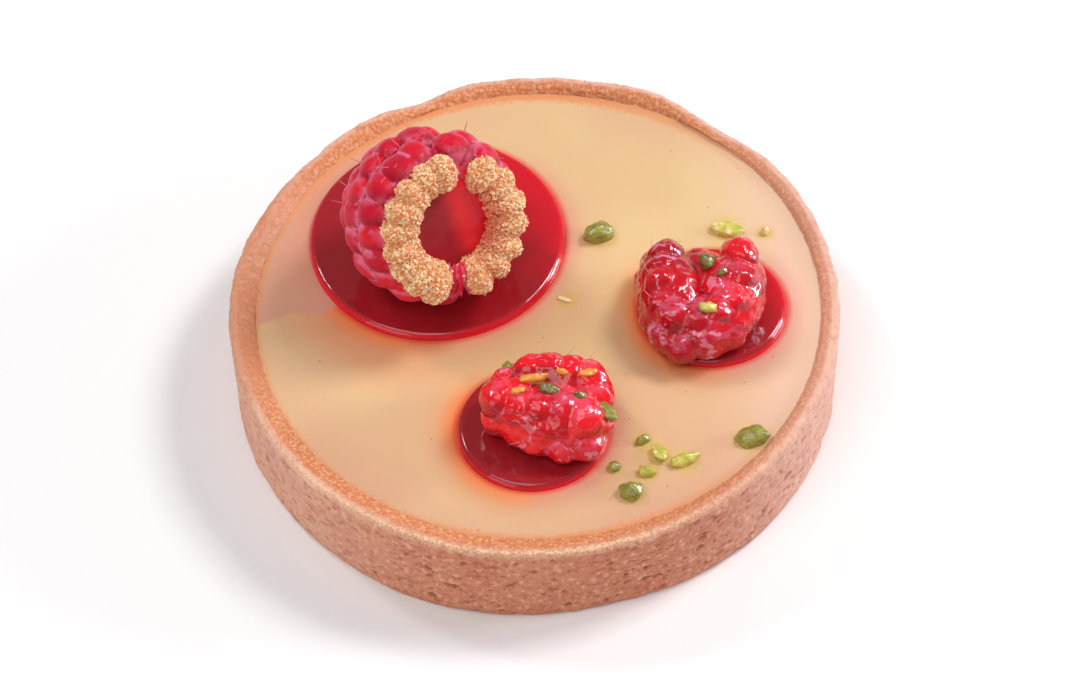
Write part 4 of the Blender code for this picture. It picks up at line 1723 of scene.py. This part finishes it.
@dataclass(frozen=True)
class Chip:
    """One chip of pistachio: its place in millimetres, half sizes, heading in degrees and tone."""

    place: Triple
    half_sizes: Triple
    heading: float
    tone: Tone

    def resting(self, under: Piece, base: float) -> "Chip":
        """The chip moved up or down to lie on a piece.

        Args:
            under: what it lies on.
            base: the height that its own height is counted from, in metres.

        Returns:
            The chip in its new place.
        """
        x, y, z = self.place
        faces = [tuple(face.vertices) for face in under.body.data.polygons]
        tree = BVHTree.FromPolygons(under.points().tolist(), faces)
        hit = tree.ray_cast(Vector((x * MM, y * MM, 1.0)), -UP)[0]
        return replace(self, place=(x, y, (hit.z - base) / MM + 0.35 * self.half_sizes[2])) if hit else self

    def build(self, seed: int) -> Piece:
        """A lopsided block of flat faces, its edges worn and its faces grainy.

        Args:
            seed: picks the chip's shape.

        Returns:
            The chip.
        """
        piece = Piece.ball(f"chip_{seed}", 1)
        corners, apart = [Vector(point) for point in piece.points()], Vector((seed * 5.3, seed * 2.1, 0.0))
        swollen = [corner * (1.0 + 0.45 * noise.noise(corner * 1.7 + apart)) for corner in corners]
        piece.place_points(np.array(swollen))
        turn = Matrix.Rotation(math.radians(self.heading), 4, "Z")
        shape = Matrix.Diagonal((*(Vector(self.half_sizes) * MM), 1.0))
        piece.transform(Matrix.Translation(Vector(self.place) * MM) @ turn @ shape)
        piece.modify("BEVEL", width=0.14 * min(self.half_sizes) * MM, segments=2, limit_method="NONE")
        piece.modify("SUBSURF", subdivision_type="SIMPLE", levels=2, render_levels=2)
        piece.roughen(lambda place: ripple(place, 0.5 * MM, 0.07 * MM))
        return piece.paint("tone", np.full(len(piece.points()), self.tone.value))


@dataclass
class Pistachio:
    """The chips that lie on one node, as one piece."""

    name: str
    node: str
    base: float
    chips: tuple[Chip, ...]
    first_seed: int = 0
    under: Piece | None = None

    def build(self) -> None:
        """Makes, joins and dresses the chips."""
        lift = Matrix.Translation((0.0, 0.0, self.base))
        chips = [chip.resting(self.under, self.base) for chip in self.chips] if self.under else self.chips
        made = [chip.build(self.first_seed + n).transform(lift) for n, chip in enumerate(chips)]
        piece = made[0].absorb(made[1:])
        piece.rename(self.name)
        piece.smooth(35.0).dress(NutFinish("chopped_pistachio", "pistachio"), self.node)


# ---- studio ---------------------------------------------------------------------------------------


@dataclass(frozen=True)
class SoftLight:
    """A soft rectangular light that faces the tart: place and size in metres, power in watts."""

    name: str
    place: Triple
    size: Pair
    power: float
    tint: Triple
    shine_only: bool = False  # whether it shows in glossy surfaces alone

    def build(self) -> None:
        """Adds the light to the scene."""
        data = bpy.data.lights.new(self.name, "AREA")
        data.shape = "RECTANGLE"
        data.size, data.size_y = self.size
        data.energy = self.power
        data.color = self.tint
        light = bpy.data.objects.new(self.name, data)
        light.location = self.place
        light.rotation_euler = Vector(self.place).to_track_quat("Z", "Y").to_euler()
        light.visible_diffuse = not self.shine_only
        bpy.context.scene.collection.objects.link(light)


@dataclass
class Studio:
    """The floor, the soft lights and the camera."""

    lights: tuple[SoftLight, ...]
    elevation: float = 52.339
    roll: float = -2.073
    distance: float = 487.5 * MM
    lens: float = 135.16
    aim: Triple = (-0.346 * MM, -6.188 * MM, 13.0 * MM)
    daylight: float = 0.25

    def place_camera(self) -> None:
        """Sets the camera above the front, looking down at the tart."""
        data = bpy.data.cameras.new("camera")
        data.lens, data.sensor_width = self.lens, 36.0
        camera = bpy.data.objects.new("camera", data)
        tilt, roll = math.radians(self.elevation), math.radians(self.roll)
        back = Vector((0.0, -math.cos(tilt), math.sin(tilt)))
        right, up = Vector((1.0, 0.0, 0.0)), Vector((0.0, math.sin(tilt), math.cos(tilt)))
        across = right * math.cos(roll) + up * math.sin(roll)
        above = up * math.cos(roll) - right * math.sin(roll)
        camera.matrix_world = Matrix.Translation(Vector(self.aim) + back * self.distance) @ Matrix(
            (across, above, back)
        ).transposed().to_4x4()
        bpy.context.scene.collection.objects.link(camera)
        bpy.context.scene.camera = camera

    def build(self) -> None:
        """Sets up the floor, the lights, the background and the camera."""
        deselect()
        bpy.ops.mesh.primitive_plane_add(size=3.0)
        floor = Piece(bpy.context.object, "floor")
        pale, second = (0.93, 0.93, 0.935, 1.0), (0.92, 0.92, 0.925, 1.0)
        finish = PlainFinish("floor", "", colour=pale, second=second, size=0.3)
        floor.body.data.materials.append(finish.material())
        for light in self.lights:
            light.build()
        world = bpy.data.worlds.new("studio")
        world.use_nodes = True
        background = world.node_tree.nodes["Background"]
        background.inputs["Color"].default_value = (1.0, 1.0, 1.0, 1.0)
        background.inputs["Strength"].default_value = self.daylight
        bpy.context.scene.world = world
        bpy.context.scene.view_settings.view_transform = "Standard"
        self.place_camera()


# ---- the tart -------------------------------------------------------------------------------------

DISCS = (
    Disc("coulis_disc_large", (-11.8 * MM, 11.7 * MM), 16.0 * MM),
    Disc("coulis_disc_right", (21.8 * MM, -0.8 * MM), 9.2 * MM),
    Disc("coulis_disc_front", (-0.7 * MM, -18.3 * MM), 9.2 * MM),
)
RIGHT_BERRY = TornRaspberry(
    node="raspberry_torn_right",
    painted_shade=0.8,
    ripeness=-0.25,
    middle=(20.6, -2.4, 1.6),
    lobes=(
        Lobe((16.6, -1.8, 2.8), (4.2, 7.0, 4.3), 6.0),
        Lobe((24.2, -1.9, 2.8), (4.0, 6.6, 4.3), -14.0),
        Lobe((20.2, -6.0, 2.4), (5.2, 4.2, 3.7)),
        Lobe((20.6, 0.6, 2.0), (4.0, 5.4, 2.6)),
    ),
    rows=(
        Row((15.3, 3.6, 2.4), (13.2, -1.8, 2.4), (16.0, -7.4, 2.4), 5, 2.2),
        Row((17.6, -8.6, 2.2), (26.4, -9.0, 2.2), (26.2, 2.8, 2.4), 6, 2.1),
        Row((16.4, 3.2, 4.6), (14.4, -2.0, 5.9), (16.8, -6.0, 4.6), 5, 2.2),
        Row((19.4, -6.8, 4.4), (25.6, -6.4, 5.2), (25.2, 2.4, 5.0), 5, 2.3),
        Row((18.0, 1.6, 3.6), (17.8, -1.8, 4.0), (19.2, -5.0, 4.2), 3, 1.7),
        Row((22.8, 1.0, 3.8), (23.6, -2.0, 4.3), (21.8, -5.0, 4.2), 3, 1.8),
    ),
)
FRONT_BERRY = TornRaspberry(
    node="raspberry_torn_front",
    ripeness=0.45,
    middle=(1.0, -17.4, 1.8),
    lobes=(
        Lobe((1.9, -14.9, 2.6), (6.6, 3.6, 4.6), -8.0),
        Lobe((0.5, -19.7, 2.7), (7.2, 4.0, 4.2), -20.0),
        Lobe((1.0, -17.2, 1.8), (6.4, 4.6, 3.6), -14.0),
    ),
    rows=(
        Row((-4.8, -18.4, 2.2), (-0.2, -23.6, 2.0), (5.4, -22.8, 2.2), 5, 2.2),
        Row((-4.6, -17.6, 4.2), (0.4, -20.4, 5.6), (5.4, -21.4, 4.6), 5, 2.4),
        Row((-2.4, -16.7, 4.8), (1.8, -18.8, 5.2), (5.4, -19.6, 4.8), 4, 1.8),
        Row((-3.4, -15.0, 4.2), (1.4, -13.2, 6.0), (6.4, -15.6, 4.8), 5, 2.25),
        Row((-4.6, -15.6, 2.2), (1.6, -11.6, 2.2), (7.0, -15.4, 2.4), 5, 2.2),
        Row((6.8, -17.2, 3.6), (7.0, -19.0, 3.6), (6.6, -20.6, 3.4), 2, 2.3),
    ),
)
CREAM_CHIPS = (
    Chip((8.5, 11.3, 0.56), (2.3, 1.6, 1.6), 10, Tone.GREEN),
    Chip((24.1, 11.4, 0.35), (2.6, 1.2, 1.0), -15, Tone.YELLOW),
    Chip((29.0, 10.8, 0.25), (0.9, 0.6, 0.7), 60, Tone.YELLOW),
    Chip((25.4, -20.9, 0.53), (2.4, 1.7, 1.5), -8, Tone.GREEN),
    Chip((12.4, -20.6, 0.32), (1.3, 0.7, 0.9), 25, Tone.GREEN),
    Chip((14.2, -22.7, 0.35), (1.6, 0.9, 1.0), -62, Tone.LIME),
    Chip((17.2, -23.9, 0.32), (1.9, 0.9, 0.9), 20, Tone.LIME),
    Chip((12.7, -25.4, 0.28), (1.2, 0.8, 0.8), -15, Tone.LIME),
    Chip((8.8, -24.5, 0.28), (0.9, 0.8, 0.8), 0, Tone.GREEN),
    Chip((10.7, -28.3, 0.49), (1.6, 1.5, 1.4), 20, Tone.GREEN),
    Chip((3.9, 1.3, 0.1), (1.2, 0.4, 0.35), -20, Tone.PALE),
)
RIGHT_CHIPS = (
    Chip((21.3, 1.6, 6.2), (1.5, 1.3, 1.2), 70, Tone.OLIVE),
    Chip((22.9, -1.4, 5.2), (0.8, 0.6, 0.6), 30, Tone.OLIVE),
    Chip((20.9, -6.6, 5.6), (1.2, 0.8, 0.8), 5, Tone.LIME),
)
FRONT_CHIPS = (
    Chip((-3.5, -12.9, 6.4), (1.0, 0.8, 0.8), 20, Tone.GREEN),
    Chip((-0.5, -16.2, 6.6), (2.0, 0.8, 0.7), 10, Tone.AMBER),
    Chip((1.4, -18.0, 6.4), (1.5, 0.9, 0.9), -15, Tone.OLIVE),
    Chip((4.8, -19.2, 6.3), (1.1, 0.7, 0.8), 20, Tone.OLIVE),
    Chip((8.3, -20.4, 5.2), (1.8, 1.1, 0.8), -55, Tone.GREEN),
    Chip((-2.2, -18.4, 6.0), (1.0, 0.5, 0.4), 15, Tone.AMBER),
    Chip((3.0, -15.8, 6.0), (0.9, 0.5, 0.4), -20, Tone.AMBER),
    Chip((6.0, -16.2, 6.0), (1.2, 0.6, 0.4), 5, Tone.AMBER),
)
LIGHTS = (
    SoftLight("key", (0.58, 0.30, 0.78), (0.26, 0.26), 5.2, (1.0, 0.98, 0.95)),
    SoftLight("front_top", (-0.25, -0.34, 0.92), (0.7, 0.5), 3.4, (1.0, 0.99, 0.98)),
    SoftLight("left_back", (-0.48, 0.42, 0.70), (0.13, 0.13), 1.6, (0.90, 0.90, 1.0)),
    SoftLight("right_low", (0.80, 0.06, 0.26), (0.16, 0.13), 2.4, (0.80, 0.82, 1.0)),
    SoftLight("left_low", (-0.55, -0.62, 0.28), (0.5, 0.3), 1.2, (1.0, 0.97, 0.95)),
    SoftLight("edge_shine", (0.84, 0.24, 0.32), (0.22, 0.12), 7.0, (0.93, 0.88, 1.0), shine_only=True),
)


def main() -> None:
    """Builds the tart, piece by piece, and the studio round it."""
    logging.basicConfig(level=logging.INFO, format="%(relativeCreated)6d ms %(message)s")
    noise.seed_set(NOISE_SEED)
    Crust().build()
    LemonCream(DISCS, CREAM_CHIPS).build()
    for disc in DISCS:
        disc.build()
    WholeRaspberry().build()
    right_berry, front_berry = RIGHT_BERRY.build(), FRONT_BERRY.build()
    Pistachio("pistachio_on_cream", "lemon_cream", CREAM_LEVEL, CREAM_CHIPS, 0).build()
    Pistachio("pistachio_right", "raspberry_torn_right", DISC_TOP, RIGHT_CHIPS, 20, right_berry).build()
    Pistachio("pistachio_front", "raspberry_torn_front", DISC_TOP, FRONT_CHIPS, 20, front_berry).build()
    Studio(LIGHTS).build()


if __name__ == "__main__":
    main()
